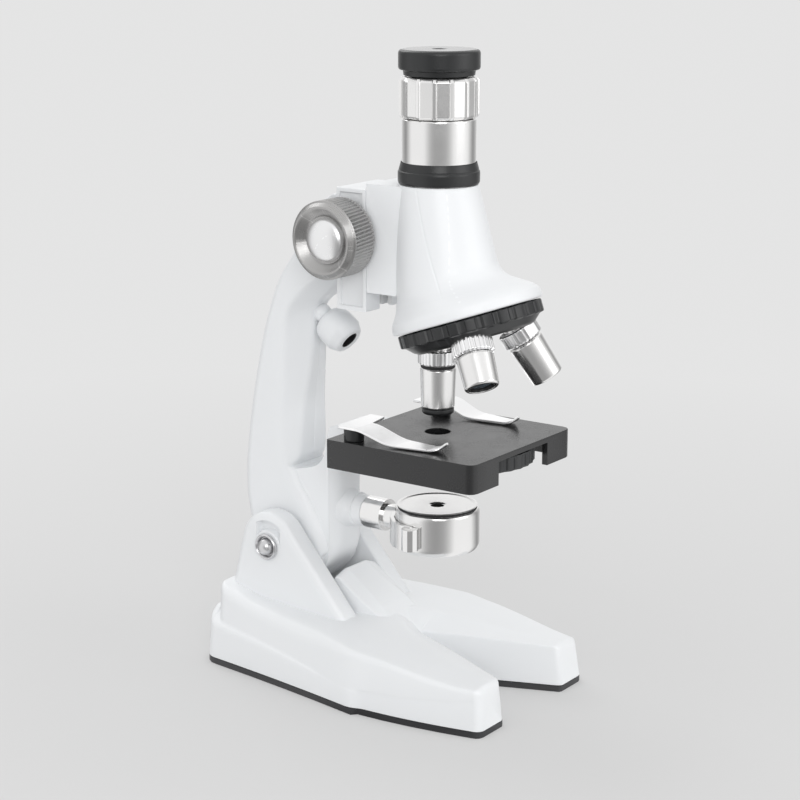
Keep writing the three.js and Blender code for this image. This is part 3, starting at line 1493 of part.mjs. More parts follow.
// Wide scallops between narrow raised ribs, with both ends chamfered.
function zoomRing() {
  const outline = [];
  const ribSide = zoomRibHalfAngle * 2;
  for (let rib = 0; rib < zoomRingRibs; rib++) {
    const middle = ((rib + 0.5) * 2 * Math.PI) / zoomRingRibs;
    const spacing = (2 * Math.PI) / zoomRingRibs;
    outline.push(
      ...arc(0, 0, zoomRingRadius, middle - zoomRibHalfAngle * 1.6, middle + zoomRibHalfAngle * 1.6, 1),
      ...arc(0, 0, zoomRingRadius - zoomScallopDepth, middle + ribSide, middle + spacing - ribSide, 3),
    );
  }
  const low = tubeShoulder + seatGap;
  const blank = turned(
    [
      point(spigotRadius + seatGap, low),
      point(zoomRingRadius - 0.8, low),
      point(zoomRingRadius + 0.1, low + 0.9),
      point(zoomRingRadius + 0.1, zoomRingTop - 1.1),
      point(zoomRingRadius - 1, zoomRingTop),
      point(spigotRadius + seatGap, zoomRingTop),
      point(spigotRadius + seatGap, low),
    ],
    largeRound,
  );
  return common(blank, plate(outline, low - 1, zoomRingTop + 1));
}

function eyecup() {
  const neckBottom = zoomRingTop + seatGap;
  const sleeve = tubeBoreRadius - seatGap;
  return turned(
    [
      point(eyeLensRadius + seatGap, neckBottom - 6),
      point(sleeve, neckBottom - 6),
      point(sleeve, neckBottom),
      point(eyecupNeckRadius, neckBottom),
      point(eyecupNeckRadius, eyecupNeckTop),
      point(eyecupRadius, eyecupNeckTop + 0.3),
      point(eyecupRadius, overallHeight - 1.1),
      point(eyecupRadius - 0.7, overallHeight - 0.2),
      point(eyecupRadius - 1.6, overallHeight),
      point(eyecupRadius - 2.6, overallHeight - 0.3),
      point(eyeHoleRadius + 0.5, overallHeight - 1),
      point(eyeHoleRadius, overallHeight - 1.6),
      point(eyeHoleRadius, overallHeight - 3),
      point(eyeLensRadius + seatGap, overallHeight - 3),
      point(eyeLensRadius + seatGap, neckBottom - 6),
    ],
    largeRound,
  );
}

function eyeLens() {
  const top = overallHeight - 3 - seatGap;
  return turned(
    [
      point(0, top - 3.4),
      point(eyeLensRadius * 0.6, top - 3),
      point(eyeLensRadius, top - 2),
      point(eyeLensRadius, top - 1),
      point(eyeLensRadius * 0.55, top - 0.3),
      point(0, top),
    ],
    largeRound,
  );
}

function ocularCollar() {
  const inner = tubeRadius + seatGap;
  const low = collarBottom + seatGap / 3;
  return turned(
    [
      point(inner, low),
      point(collarRadius - 0.2, low),
      point(collarRadius, low + 0.4),
      point(collarRadius, collarTop - 2.2),
      point(collarRadius - 0.7, collarTop - 0.2),
      point(collarRadius - 0.9, collarTop),
      point(inner, collarTop),
      point(inner, low),
    ],
    largeRound,
  );
}

function buildHead() {
  const head = new THREE.Group();
  microscope.add(head);
  add(head, "head_carriage", "whitePlastic", headCarriage());
  add(head, "focus_rack", "brass", rack());
  add(head, "head_housing", "whitePlastic", headHousing());
  add(head, "nosepiece_plate", "blackPlastic", nosepiecePlate());
  buildTurret(head);
  const eyepiece = new THREE.Group();
  eyepiece.position.set(0, opticY, 0);
  head.add(eyepiece);
  add(eyepiece, "ocular_collar", "blackPlastic", ocularCollar());
  add(eyepiece, "ocular_tube", "chrome", ocularTube());
  add(eyepiece, "zoom_ring", "chrome", zoomRing());
  add(eyepiece, "eyecup", "blackPlastic", eyecup());
  add(eyepiece, "eye_lens", "glass", eyeLens());
}

buildBase();
buildArm();
buildHead();

export default microscope;
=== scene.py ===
"""Looks of a small student microscope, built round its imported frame."""

import logging
import math
from dataclasses import dataclass, field
from enum import Enum
from typing import Callable, Sequence

import bmesh
import bpy
import numpy as np
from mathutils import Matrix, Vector


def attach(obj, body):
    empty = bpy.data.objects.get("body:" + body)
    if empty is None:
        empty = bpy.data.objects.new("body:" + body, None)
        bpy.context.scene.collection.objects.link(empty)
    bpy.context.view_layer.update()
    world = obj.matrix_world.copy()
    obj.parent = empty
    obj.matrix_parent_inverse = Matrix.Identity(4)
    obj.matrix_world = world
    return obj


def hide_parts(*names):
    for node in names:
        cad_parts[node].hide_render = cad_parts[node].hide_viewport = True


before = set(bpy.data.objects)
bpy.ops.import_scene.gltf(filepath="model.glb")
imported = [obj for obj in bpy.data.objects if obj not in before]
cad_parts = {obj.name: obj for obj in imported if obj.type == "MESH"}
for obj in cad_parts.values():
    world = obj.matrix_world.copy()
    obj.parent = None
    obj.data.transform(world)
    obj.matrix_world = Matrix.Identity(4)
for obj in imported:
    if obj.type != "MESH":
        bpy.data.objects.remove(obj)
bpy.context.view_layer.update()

MM = 0.001
TAU = 2 * math.pi
QUARTER_TURN = math.pi / 2
TINY = 1e-9  # keeps a division by a length from dividing by nothing
MERGE = 0.002  # points nearer than this, in millimetres, become one
BRACE = 0.25  # how far from a profile's corners its extra points stand, in millimetres
FLAT_ANGLE = 0.6  # faces of a frame node that turn by less than this, in degrees, count as one
OPTIC_Y = -21.8  # place of the optical axis
PIVOT_Y, PIVOT_HEIGHT = 38.2, 46.0  # axis of the tilt bolt
STAGE_TOP = 93.5
SIDES = (("left", -1), ("right", 1))
LOG = logging.getLogger("microscope")

Array = np.ndarray
Socket = bpy.types.NodeSocket
Colour = Socket | Sequence[float]


class Body(Enum):
    """Bodies of the frame that pieces ride on."""

    BASE = "base"
    ARM = "arm"
    DRIVE = "drive"
    HEAD = "head"
    TURRET = "turret"
    EYEPIECE = "eyepiece"
    ZOOM = "zoom"
    APERTURE = "aperture"
    CLIP_LEFT = "clip_left"
    CLIP_RIGHT = "clip_right"
    LAMP = "lamp"
    SPOT = "spot"


class Grain(Enum):
    """How a finish's fine marks run."""

    EVEN = "even"
    ROUND = "round"
    LONG = "long"


# ---- Finishes ----
@dataclass
class NodeTree:
    """The node tree of a material or a world, with short calls for the nodes that the looks share."""

    owner: bpy.types.Material | bpy.types.World

    def __post_init__(self) -> None:
        """Turns nodes on and empties the tree."""
        self.owner.use_nodes = True
        self.tree = self.owner.node_tree
        self.tree.nodes.clear()

    def add(self, kind: str, **values: object) -> bpy.types.Node:
        """Adds a node and sets its properties.

        Args:
            kind: Blender's name of the node type.
            values: properties of the node, by name.

        Returns:
            The new node.
        """
        node = self.tree.nodes.new(kind)
        for name, value in values.items():
            setattr(node, name, value)
        return node

    def link(self, source: Socket, target: Socket) -> None:
        """Joins an output to an input."""
        self.tree.links.new(source, target)

    def coordinates(self, scale: Sequence[float], own_map: bool) -> Socket:
        """Object or own-map coordinates, scaled along each axis.

        Args:
            scale: factor for each axis.
            own_map: True for the piece's own map, which follows its surface.

        Returns:
            The scaled vector.
        """
        source = self.add("ShaderNodeTexCoord")
        mapping = self.add("ShaderNodeMapping")
        mapping.inputs["Scale"].default_value = scale
        self.link(source.outputs["UV" if own_map else "Object"], mapping.inputs["Vector"])
        return mapping.outputs["Vector"]

    def noise(self, vector: Socket, scale: float, detail: float = 3.0) -> Socket:
        """Fractal noise at a vector.

        Args:
            vector: where it is read.
            scale: how fine it is.
            detail: how many octaves it has.

        Returns:
            The noise, from 0 to 1.
        """
        node = self.add("ShaderNodeTexNoise")
        node.inputs["Scale"].default_value = scale
        node.inputs["Detail"].default_value = detail
        self.link(vector, node.inputs["Vector"])
        return node.outputs["Fac"]

    def spread(self, value: Socket, low: float, high: float, first: float = 0.3, last: float = 0.7) -> Socket:
        """Maps first..last of a value onto low..high, clamped.

        Args:
            value: what is mapped.
            low: what first becomes.
            high: what last becomes.
            first: where the mapped stretch starts.
            last: where it ends.

        Returns:
            The mapped value.
        """
        node = self.add("ShaderNodeMapRange")
        node.inputs["From Min"].default_value = first
        node.inputs["From Max"].default_value = last
        node.inputs["To Min"].default_value = low
        node.inputs["To Max"].default_value = high
        self.link(value, node.inputs["Value"])
        return node.outputs["Result"]

    def ramp(self, value: Socket, stops: Sequence[tuple[float, Sequence[float]]]) -> Socket:
        """Colours a value.

        Args:
            value: what is coloured, from 0 to 1.
            stops: positions and their colours.

        Returns:
            The colour.
        """
        node = self.add("ShaderNodeValToRGB")
        elements = node.color_ramp.elements
        while len(elements) < len(stops):
            elements.new(0.5)
        for element, (position, colour) in zip(elements, stops):
            element.position = position
            element.color = (*colour, 1.0)
        self.link(value, node.inputs["Fac"])
        return node.outputs["Color"]

    def blend(self, share: Socket, first: Colour, second: Colour) -> Socket:
        """Mixes two colours.

        Args:
            share: how much of the second colour there is, from 0 to 1.
            first: a socket, or red, green, blue and alpha.
            second: likewise.

        Returns:
            The mixed colour.
        """
        node = self.add("ShaderNodeMix", data_type="RGBA", blend_type="MIX")
        factor, colour_a, colour_b = node.inputs[0], node.inputs[6], node.inputs[7]
        self.link(share, factor)
        for target, colour in ((colour_a, first), (colour_b, second)):
            if isinstance(colour, Socket):
                self.link(colour, target)
            else:
                target.default_value = colour
        return node.outputs[2]


CLOUD_SCALE = 38.0  # of the broad noise that sways the colour
MOTTLE_SCALE = 140.0  # of the finer noise that sways the roughness
DRAWN_OUT = 0.02  # scale of a drawn-out grain along its marks
BUMP_HEIGHT = 0.0002  # in metres


@dataclass(frozen=True)
class Finish:
    """A surface finish: colour, gloss and fine marks, all worked out by nodes.

    The grain is noise drawn out along the marks. It sways the roughness and lifts the surface, a broad noise
    sways the colour, and the edges are a little lighter where they have been handled.
    """

    name: str
    slot: str
    colour: tuple[float, float, float]
    roughness: float
    metallic: float = 0.0
    colour_sway: float = 0.03
    roughness_sway: float = 0.05
    grain: Grain = Grain.EVEN
    grain_scale: float = 900.0
    bump: float = 0.03
    wear: float = 0.04
    coat: float = 0.0
    coat_roughness: float = 0.1
    anisotropy: float = 0.0
    specular: float = 0.5

    def tone(self, factor: float) -> tuple[float, float, float]:
        """The finish's colour, lighter or darker by a factor."""
        return tuple(min(1.0, channel * factor) for channel in self.colour)

    def make(self) -> bpy.types.Material:
        """Builds the material.

        Returns:
            A material that reads object coordinates, or the piece's own map for drawn-out grain.
        """
        material = bpy.data.materials.new(self.name)
        nodes = NodeTree(material)
        shader = nodes.add("ShaderNodeBsdfPrincipled")
        output = nodes.add("ShaderNodeOutputMaterial")
        nodes.link(shader.outputs["BSDF"], output.inputs["Surface"])
        plain = nodes.coordinates((1, 1, 1), own_map=False)
        if self.grain is Grain.EVEN:
            marks = nodes.noise(plain, self.grain_scale, 4.0)
        else:
            along = (DRAWN_OUT, 1.0, 1.0) if self.grain is Grain.ROUND else (1.0, DRAWN_OUT, 1.0)
            marks = nodes.noise(nodes.coordinates(along, own_map=True), self.grain_scale, 4.0)
        cloud = nodes.noise(plain, CLOUD_SCALE, 2.0)
        tones = [(0.3, self.tone(1 - self.colour_sway)), (0.7, self.tone(1 + self.colour_sway / 2))]
        edge = nodes.add("ShaderNodeNewGeometry")
        worn = nodes.spread(edge.outputs["Pointiness"], 0.0, 1.0, 0.52, 0.6)
        base = nodes.blend(worn, nodes.ramp(cloud, tones), (*self.tone(1 + 4 * self.wear), 1))
        nodes.link(base, shader.inputs["Base Color"])
        both = nodes.add("ShaderNodeMath", operation="MULTIPLY_ADD")
        both.inputs[1].default_value = 0.7
        nodes.link(marks, both.inputs[0])
        nodes.link(nodes.spread(nodes.noise(plain, MOTTLE_SCALE), 0.0, 0.3), both.inputs[2])
        low, high = self.roughness - self.roughness_sway, self.roughness + self.roughness_sway
        nodes.link(nodes.spread(both.outputs[0], low, high, 0.2, 0.8), shader.inputs["Roughness"])
        bump = nodes.add("ShaderNodeBump")
        bump.inputs["Strength"].default_value = self.bump
        bump.inputs["Distance"].default_value = BUMP_HEIGHT
        nodes.link(marks, bump.inputs["Height"])
        nodes.link(bump.outputs["Normal"], shader.inputs["Normal"])
        shader.inputs["Metallic"].default_value = self.metallic
        shader.inputs["Coat Weight"].default_value = self.coat
        shader.inputs["Coat Roughness"].default_value = self.coat_roughness
        shader.inputs["Anisotropic"].default_value = self.anisotropy
        shader.inputs["Specular IOR Level"].default_value = self.specular
        return material


WHITE = Finish(
    "white_gloss_plastic", "white_plastic", (0.86, 0.875, 0.89), 0.38, colour_sway=0.008, bump=0.006,
    grain_scale=1300, coat=0.12, coat_roughness=0.2, wear=0.015,
)
BLACK = Finish(
    "black_satin_plastic", "black_plastic", (0.017, 0.018, 0.019), 0.33, colour_sway=0.1, bump=0.1,
    grain_scale=2600, wear=0.3,
)
STAGE_BLACK = Finish(
    "stage_grained_plastic", "black_plastic", (0.012, 0.012, 0.0125), 0.25, colour_sway=0.1, bump=0.14,
    grain_scale=3000, wear=0.3, roughness_sway=0.07,
)
CHARCOAL = Finish(
    "charcoal_floor_plate", "charcoal_plate", (0.022, 0.022, 0.024), 0.55, bump=0.12, grain_scale=2200,
    colour_sway=0.12, wear=0.3,
)
CHROME = Finish(
    "satin_chrome", "chrome", (0.84, 0.835, 0.83), 0.2, 1.0, grain=Grain.LONG, grain_scale=14, bump=0.03,
    roughness_sway=0.04, colour_sway=0.03, wear=0.0,
)
BRIGHT = Finish(
    "bright_chrome", "chrome", (0.87, 0.87, 0.875), 0.08, 1.0, grain_scale=700, bump=0.01,
    roughness_sway=0.03, colour_sway=0.04,
)
TURNED = Finish(
    "turned_steel", "turned_steel", (0.43, 0.425, 0.42), 0.3, 1.0, grain=Grain.ROUND, grain_scale=9,
    bump=0.12, anisotropy=0.6, roughness_sway=0.08, colour_sway=0.07, wear=0.08,
)
SCREW = Finish(
    "screw_steel", "screw_steel", (0.62, 0.62, 0.63), 0.3, 1.0, grain_scale=2200, bump=0.1, wear=0.1
)
BRASS = Finish("plain_brass", "brass", (0.62, 0.43, 0.16), 0.34, 1.0, grain_scale=1500, bump=0.08, wear=0.06)
JACKET = Finish("cell_jacket", "cell_jacket", (0.10, 0.14, 0.12), 0.45, colour_sway=0.1, bump=0.04)
GLASS = Finish(
    "lens_glass", "lens_glass", (0.05, 0.07, 0.09), 0.06, colour_sway=0.05, bump=0.0, coat=0.6, specular=0.8,
    roughness_sway=0.02,
)
DOMED = Finish(
    "domed_chrome", "chrome", (0.86, 0.86, 0.865), 0.3, 1.0, grain_scale=700, bump=0.003, roughness_sway=0.04,
    colour_sway=0.03,
)
GLOSS = Finish(
    "polished_black", "black_plastic", (0.03, 0.03, 0.032), 0.17, coat=0.22, coat_roughness=0.12, bump=0.01,
    specular=0.75, colour_sway=0.06, roughness_sway=0.03,
)
MIRROR = Finish("mirror_silver", "mirror", (0.86, 0.87, 0.88), 0.05, 1.0, bump=0.0, roughness_sway=0.02)
DOME = Finish("lamp_dome", "lamp_dome", (0.88, 0.85, 0.70), 0.2, colour_sway=0.03, bump=0.02)
# Dark colour for hollows and small dark parts. It is also painted shade: the ring under the first objective's
# collar and the band under the drum cover's edge stand for shadow.
DARK = Finish(
    "dark_hollow_and_painted_shade", "black_plastic", (0.008, 0.008, 0.009), 0.6, colour_sway=0.1, bump=0.05, wear=0.2
)


# ---- Surfaces ----
def soften(corners: Array, radius: Array | float, steps: int = 4, closed: bool = False) -> Array:
    """Rounds the corners of polylines.

    Each corner becomes a quadratic Bezier arc from a point one radius before it to one radius after it, held
    to 0.48 of either neighbouring side. Leading axes of the array hold any number of polylines.

    Args:
        corners: points, of shape (..., corners, dimensions).
        radius: cut-back distance, one number or one for each corner.
        steps: pieces of each arc.
        closed: True if the last corner joins the first.

    Returns:
        Points of shape (..., corners * (steps + 1), dimensions), with open ends repeated.
    """
    most = 0.48
    corners = np.asarray(corners, float)
    reach = np.broadcast_to(np.asarray(radius, float), corners.shape[:-1])[..., None]
    before, after = np.roll(corners, 1, axis=-2), np.roll(corners, -1, axis=-2)
    to_before, to_after = before - corners, after - corners
    length_before = np.maximum(np.linalg.norm(to_before, axis=-1, keepdims=True), TINY)
    length_after = np.maximum(np.linalg.norm(to_after, axis=-1, keepdims=True), TINY)
    start = corners + to_before * np.minimum(reach / length_before, most)
    end = corners + to_after * np.minimum(reach / length_after, most)
    if not closed:
        for tip in (0, -1):
            start[..., tip, :] = end[..., tip, :] = corners[..., tip, :]
    t = np.linspace(0, 1, steps + 1)[:, None]
    arcs = (
        start[..., None, :] * (1 - t) ** 2
        + corners[..., None, :] * 2 * t * (1 - t)
        + end[..., None, :] * t**2
    )
    return arcs.reshape(*corners.shape[:-2], corners.shape[-2] * (steps + 1), corners.shape[-1])


def spline(knots: Array, count: int) -> Array:
    """Points on the smooth curve through knots.

    The curve is Catmull-Rom: between two knots a cubic whose slope at each knot is half the way between its
    neighbours.

    Args:
        knots: points, of shape (knots, dimensions).
        count: how many points to return.

    Returns:
        Points of shape (count, dimensions).
    """
    knots = np.asarray(knots, float)
    padded = np.vstack([2 * knots[0] - knots[1], knots, 2 * knots[-1] - knots[-2]])
    at = np.linspace(0, len(knots) - 1, count)
    cell = np.minimum(at.astype(int), len(knots) - 2)
    t = (at - cell)[:, None]
    a, b, c, d = (padded[cell + shift] for shift in range(4))
    return 0.5 * (2 * b + (c - a) * t + (2 * a - 5 * b + 4 * c - d) * t**2 + (3 * b - a - 3 * c + d) * t**3)


def lookup(knots: Array, at: Array, key: int = -1, value: int = 0) -> Array:
    """Reads one coordinate of a smooth curve where another has given values.

    Args:
        knots: points of the curve, of shape (knots, dimensions).
        at: the values of the key coordinate.
        key: index of the coordinate that is given, which rises along the curve.
        value: index of the coordinate that is read.

    Returns:
        The coordinate that is read, in the shape of at.
    """
    line = spline(knots, 400)
    order = np.argsort(line[:, key], kind="stable")
    return np.interp(at, line[order, key], line[order, value])


def sections(at: Array, *corners: tuple[Array | float, Array | float]) -> Array:
    """Corners of cross-sections at a row of stations.

    Args:
        at: the stations.
        corners: pairs of coordinates, each one number or one for every station.

    Returns:
        Points of shape (stations, corners, 2).
    """
    return np.stack(
        [np.stack(np.broadcast_arrays(first, second, at)[:2], -1) for first, second in corners], axis=1
    )


def walked(line: Array) -> Array:
    """Distance along a polyline of shape (n, dimensions) at each of its points."""
    return np.concatenate([[0], np.cumsum(np.linalg.norm(np.diff(line, axis=0), axis=1))])


def fan(row: Array) -> Array:
    """The middle of a row of points of shape (1, n, 3), n times over: joined to the row, it closes it."""
    return np.repeat(row.mean(axis=1, keepdims=True), row.shape[1], axis=1)


def averaged(values: Array, at: Array, width: float, share: Array) -> Array:
    """Draws values towards their average along an axis, weighted by exp(-(distance / width)^2 / 2).

    Args:
        values: one for each place.
        at: the places, at uneven steps.
        width: how far the average reaches.
        share: how much of the average each value takes, from 0 to 1.

    Returns:
        The new values.
    """
    weight = np.exp(-(((at[:, None] - at[None]) / width) ** 2) / 2) * np.gradient(at)[None]
    return values + share * (weight @ values / weight.sum(1) - values)


def rounded_off(depth: Array, radius: float) -> Array:
    """How far a quarter circle falls, r - sqrt(r^2 - d^2), at a depth of 0 to r past its start."""
    return radius * (1 - np.sqrt(1 - np.clip(depth / radius, 0, 1) ** 2))


def turn_x(angle: float) -> Array:
    """Rotation matrix about X."""
    c, s = math.cos(angle), math.sin(angle)
    return np.array([[1, 0, 0], [0, c, -s], [0, s, c]])


def turn_y(angle: float) -> Array:
    """Rotation matrix about Y."""
    c, s = math.cos(angle), math.sin(angle)
    return np.array([[c, 0, s], [0, 1, 0], [-s, 0, c]])


def turn_z(angle: float) -> Array:
    """Rotation matrix about Z."""
    c, s = math.cos(angle), math.sin(angle)
    return np.array([[c, -s, 0], [s, c, 0], [0, 0, 1]])


@dataclass(frozen=True)
class Place:
    """Where a surface drawn about its own Z axis stands in the frame."""

    origin: tuple[float, float, float]
    turn: Array = field(default_factory=lambda: np.eye(3))

    def apply(self, points: Array) -> Array:
        """Turns and moves points of shape (..., 3)."""
        return points @ self.turn.T + np.asarray(self.origin)


@dataclass
class Skin:
    """The points, faces and map of one piece, gathered from grids, in millimetres."""

    points: list[Array] = field(default_factory=list)
    quads: list[Array] = field(default_factory=list)
    maps: list[Array] = field(default_factory=list)
    count: int = 0

    def grid(self, points: Array, wrap: bool = True, ends: bool = False) -> "Skin":
        """Adds a grid of points as a surface.

        The map runs round the grid along its second axis and lengthwise along its first, in millimetres.

        Args:
            points: array of shape (rows, columns, 3).
            wrap: True if the last column joins the first.
            ends: True to close the first and the last row with a flat fan about their middles.

        Returns:
            The skin, so that calls may be chained.
        """
        if ends:
            points = np.concatenate([fan(points[:1]), points, fan(points[-1:])])
        rows, columns = points.shape[:2]
        size = np.linalg.norm(np.diff(points, axis=0), axis=2).mean(axis=1)
        along = np.concatenate([[0], np.cumsum(size)])
        looped = np.concatenate([points, points[:, :1]], axis=1) if wrap else points
        girth = np.linalg.norm(np.diff(looped, axis=1), axis=2).sum(axis=1).max()
        around = np.linspace(0, girth, looped.shape[1])
        r, c = np.meshgrid(np.arange(rows - 1), np.arange(looped.shape[1] - 1), indexing="ij")
        nxt = (c + 1) % columns
        quad = np.stack(
            [r * columns + c, r * columns + nxt, (r + 1) * columns + nxt, (r + 1) * columns + c], axis=-1
        )
        uv = np.stack(
            [
                np.stack([around[c], along[r]], axis=-1),
                np.stack([around[c + 1], along[r]], axis=-1),
                np.stack([around[c + 1], along[r + 1]], axis=-1),
                np.stack([around[c], along[r + 1]], axis=-1),
            ],
            axis=-2,
        )
        self.points.append(points.reshape(-1, 3))
        self.quads.append(quad.reshape(-1, 4) + self.count)
        self.maps.append(uv.reshape(-1, 2))
        self.count += rows * columns
        return self

    def mesh(self, name: str) -> bpy.types.Mesh:
        """Makes a Blender mesh with doubles merged and faces turned outwards.

        Args:
            name: the mesh's name.

        Returns:
            The mesh, in metres.
        """
        made = bpy.data.meshes.new(name)
        points = np.concatenate(self.points) * MM
        quads = np.concatenate(self.quads)
        made.from_pydata(points.tolist(), [], quads.tolist())
        layer = made.uv_layers.new(name="surface")
        layer.data.foreach_set("uv", np.concatenate(self.maps).astype(np.float32).ravel())
        work = bmesh.new()
        work.from_mesh(made)
        bmesh.ops.remove_doubles(work, verts=work.verts, dist=MERGE * MM)
        bmesh.ops.dissolve_degenerate(work, edges=work.edges, dist=MERGE * MM / 4)
        bmesh.ops.recalc_face_normals(work, faces=work.faces)
        work.to_mesh(made)
        work.free()
        return made


MATERIALS: dict[str, bpy.types.Material] = {}


def hang(
    name: str,
    mesh: bpy.types.Mesh,
    body: Body,
    finish: Finish,
    stands_for: Sequence[str],
    sharp: float,
    bevel: float = 0.0,
) -> bpy.types.Object:
    """Dresses a mesh and hangs it on its body as one piece.

    Args:
        name: the piece's name.
        mesh: its mesh.
        body: the body that it rides.
        finish: its finish.
        stands_for: frame nodes that it replaces.
        sharp: edges that turn by more than this many degrees stay crisp.
        bevel: width of the rounding on those edges, in millimetres, or 0 for none.

    Returns:
        The new object.
    """
    mesh.shade_smooth()
    mesh.set_sharp_from_angle(angle=math.radians(sharp))
    if finish.name not in MATERIALS:
        MATERIALS[finish.name] = finish.make()
    mesh.materials.clear()
    mesh.materials.append(MATERIALS[finish.name])
    made = bpy.data.objects.new(name, mesh)
    bpy.context.scene.collection.objects.link(made)
    if bevel:
        rounding = made.modifiers.new("rounded_edges", "BEVEL")
        rounding.width = bevel * MM
        rounding.segments = 2
        rounding.limit_method = "ANGLE"
        rounding.angle_limit = math.radians(sharp)
        rounding.harden_normals = True
        rounding.use_clamp_overlap = True
    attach(made, body.value)
    if stands_for:
        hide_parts(*stands_for)
    LOG.info("%s: %d faces", name, len(mesh.polygons))
    return made


def piece(
    name: str, skin: Skin, body: Body, finish: Finish, stands_for: Sequence[str] = (), sharp: float = 38.0
) -> bpy.types.Object:
    """Makes a piece from a surface. The other arguments are those of hang."""
    return hang(name, skin.mesh(name), body, finish, stands_for, sharp)


def refined(
    node: str, name: str, body: Body, finish: Finish, bevel: float, sharp: float = 32.0
) -> bpy.types.Object:
    """A frame node's own shape with merged points, rounded edges and smooth shading.

    Args:
        node: the frame node.
        name: the new piece's name.
        body: the body that it rides.
        finish: its finish.
        bevel: width of the rounding on its edges, in millimetres, or 0 for none.
        sharp: edges that turn by more than this many degrees are rounded, and stay crisp.

    Returns:
        The new object.
    """
    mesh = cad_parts[node].data.copy()
    mesh.name = name
    work = bmesh.new()
    work.from_mesh(mesh)
    bmesh.ops.remove_doubles(work, verts=work.verts, dist=MERGE * MM)
    flat = math.radians(FLAT_ANGLE)
    bmesh.ops.dissolve_limit(work, angle_limit=flat, verts=work.verts, edges=work.edges, delimit=set())
    work.to_mesh(mesh)
    work.free()
    return hang(name, mesh, body, finish, [node], sharp, bevel)


def braced(line: Array) -> Array:
    """Adds a point near either end of each long segment, so that smooth shading fades out close to a corner.

    Args:
        line: points, of shape (n, 2).

    Returns:
        The points, with repeated ones dropped.
    """
    step = np.diff(line, axis=0)
    length = np.linalg.norm(step, axis=1)[:, None]
    share = np.where(length > 4 * BRACE, BRACE / np.maximum(length, TINY), 0.0)
    points = np.stack([line[:-1], line[:-1] + step * share, line[1:] - step * share], axis=1).reshape(-1, 2)
    points = np.vstack([points, line[-1:]])
    return points[np.append(True, np.linalg.norm(np.diff(points, axis=0), axis=1) > 1e-7)]


def turned(
    profile: Sequence[Sequence[float]],
    place: Place,
    rounding: float | Sequence[float],
    around: int = 96,
    wobble: Callable[[Array, Array, Array], Array] | None = None,
    closed: bool = False,
) -> Skin:
    """A piece turned about an axis.

    The profile holds (radius, height) corners. They are rounded, then carried round the axis: x = r cos a,
    y = r sin a. The wobble changes the radius by angle, height and radius, for ridges and flutes.

    Args:
        profile: corners from the axis at one end to the axis at the other, or a closed loop.
        place: where the piece stands.
        rounding: cut-back distance at the corners.
        around: how many points there are round the axis.
        wobble: what to take off the radius at (angle, height, radius), in millimetres.
        closed: True if the profile is a closed loop.

    Returns:
        The surface.
    """
    line = soften(np.array(profile, float), rounding, 3, closed)
    if closed:
        line = np.vstack([line, line[:1]])
    if wobble is None:
        line = braced(line)
    angle = np.linspace(0, TAU, around, endpoint=False)[None, :]
    radius = np.repeat(line[:, :1], around, axis=1)
    height = np.repeat(line[:, 1:], around, axis=1)
    if wobble is not None:
        radius = radius - wobble(angle, height, radius)
    points = np.stack([radius * np.cos(angle), radius * np.sin(angle), height], axis=-1)
    return Skin().grid(place.apply(points))


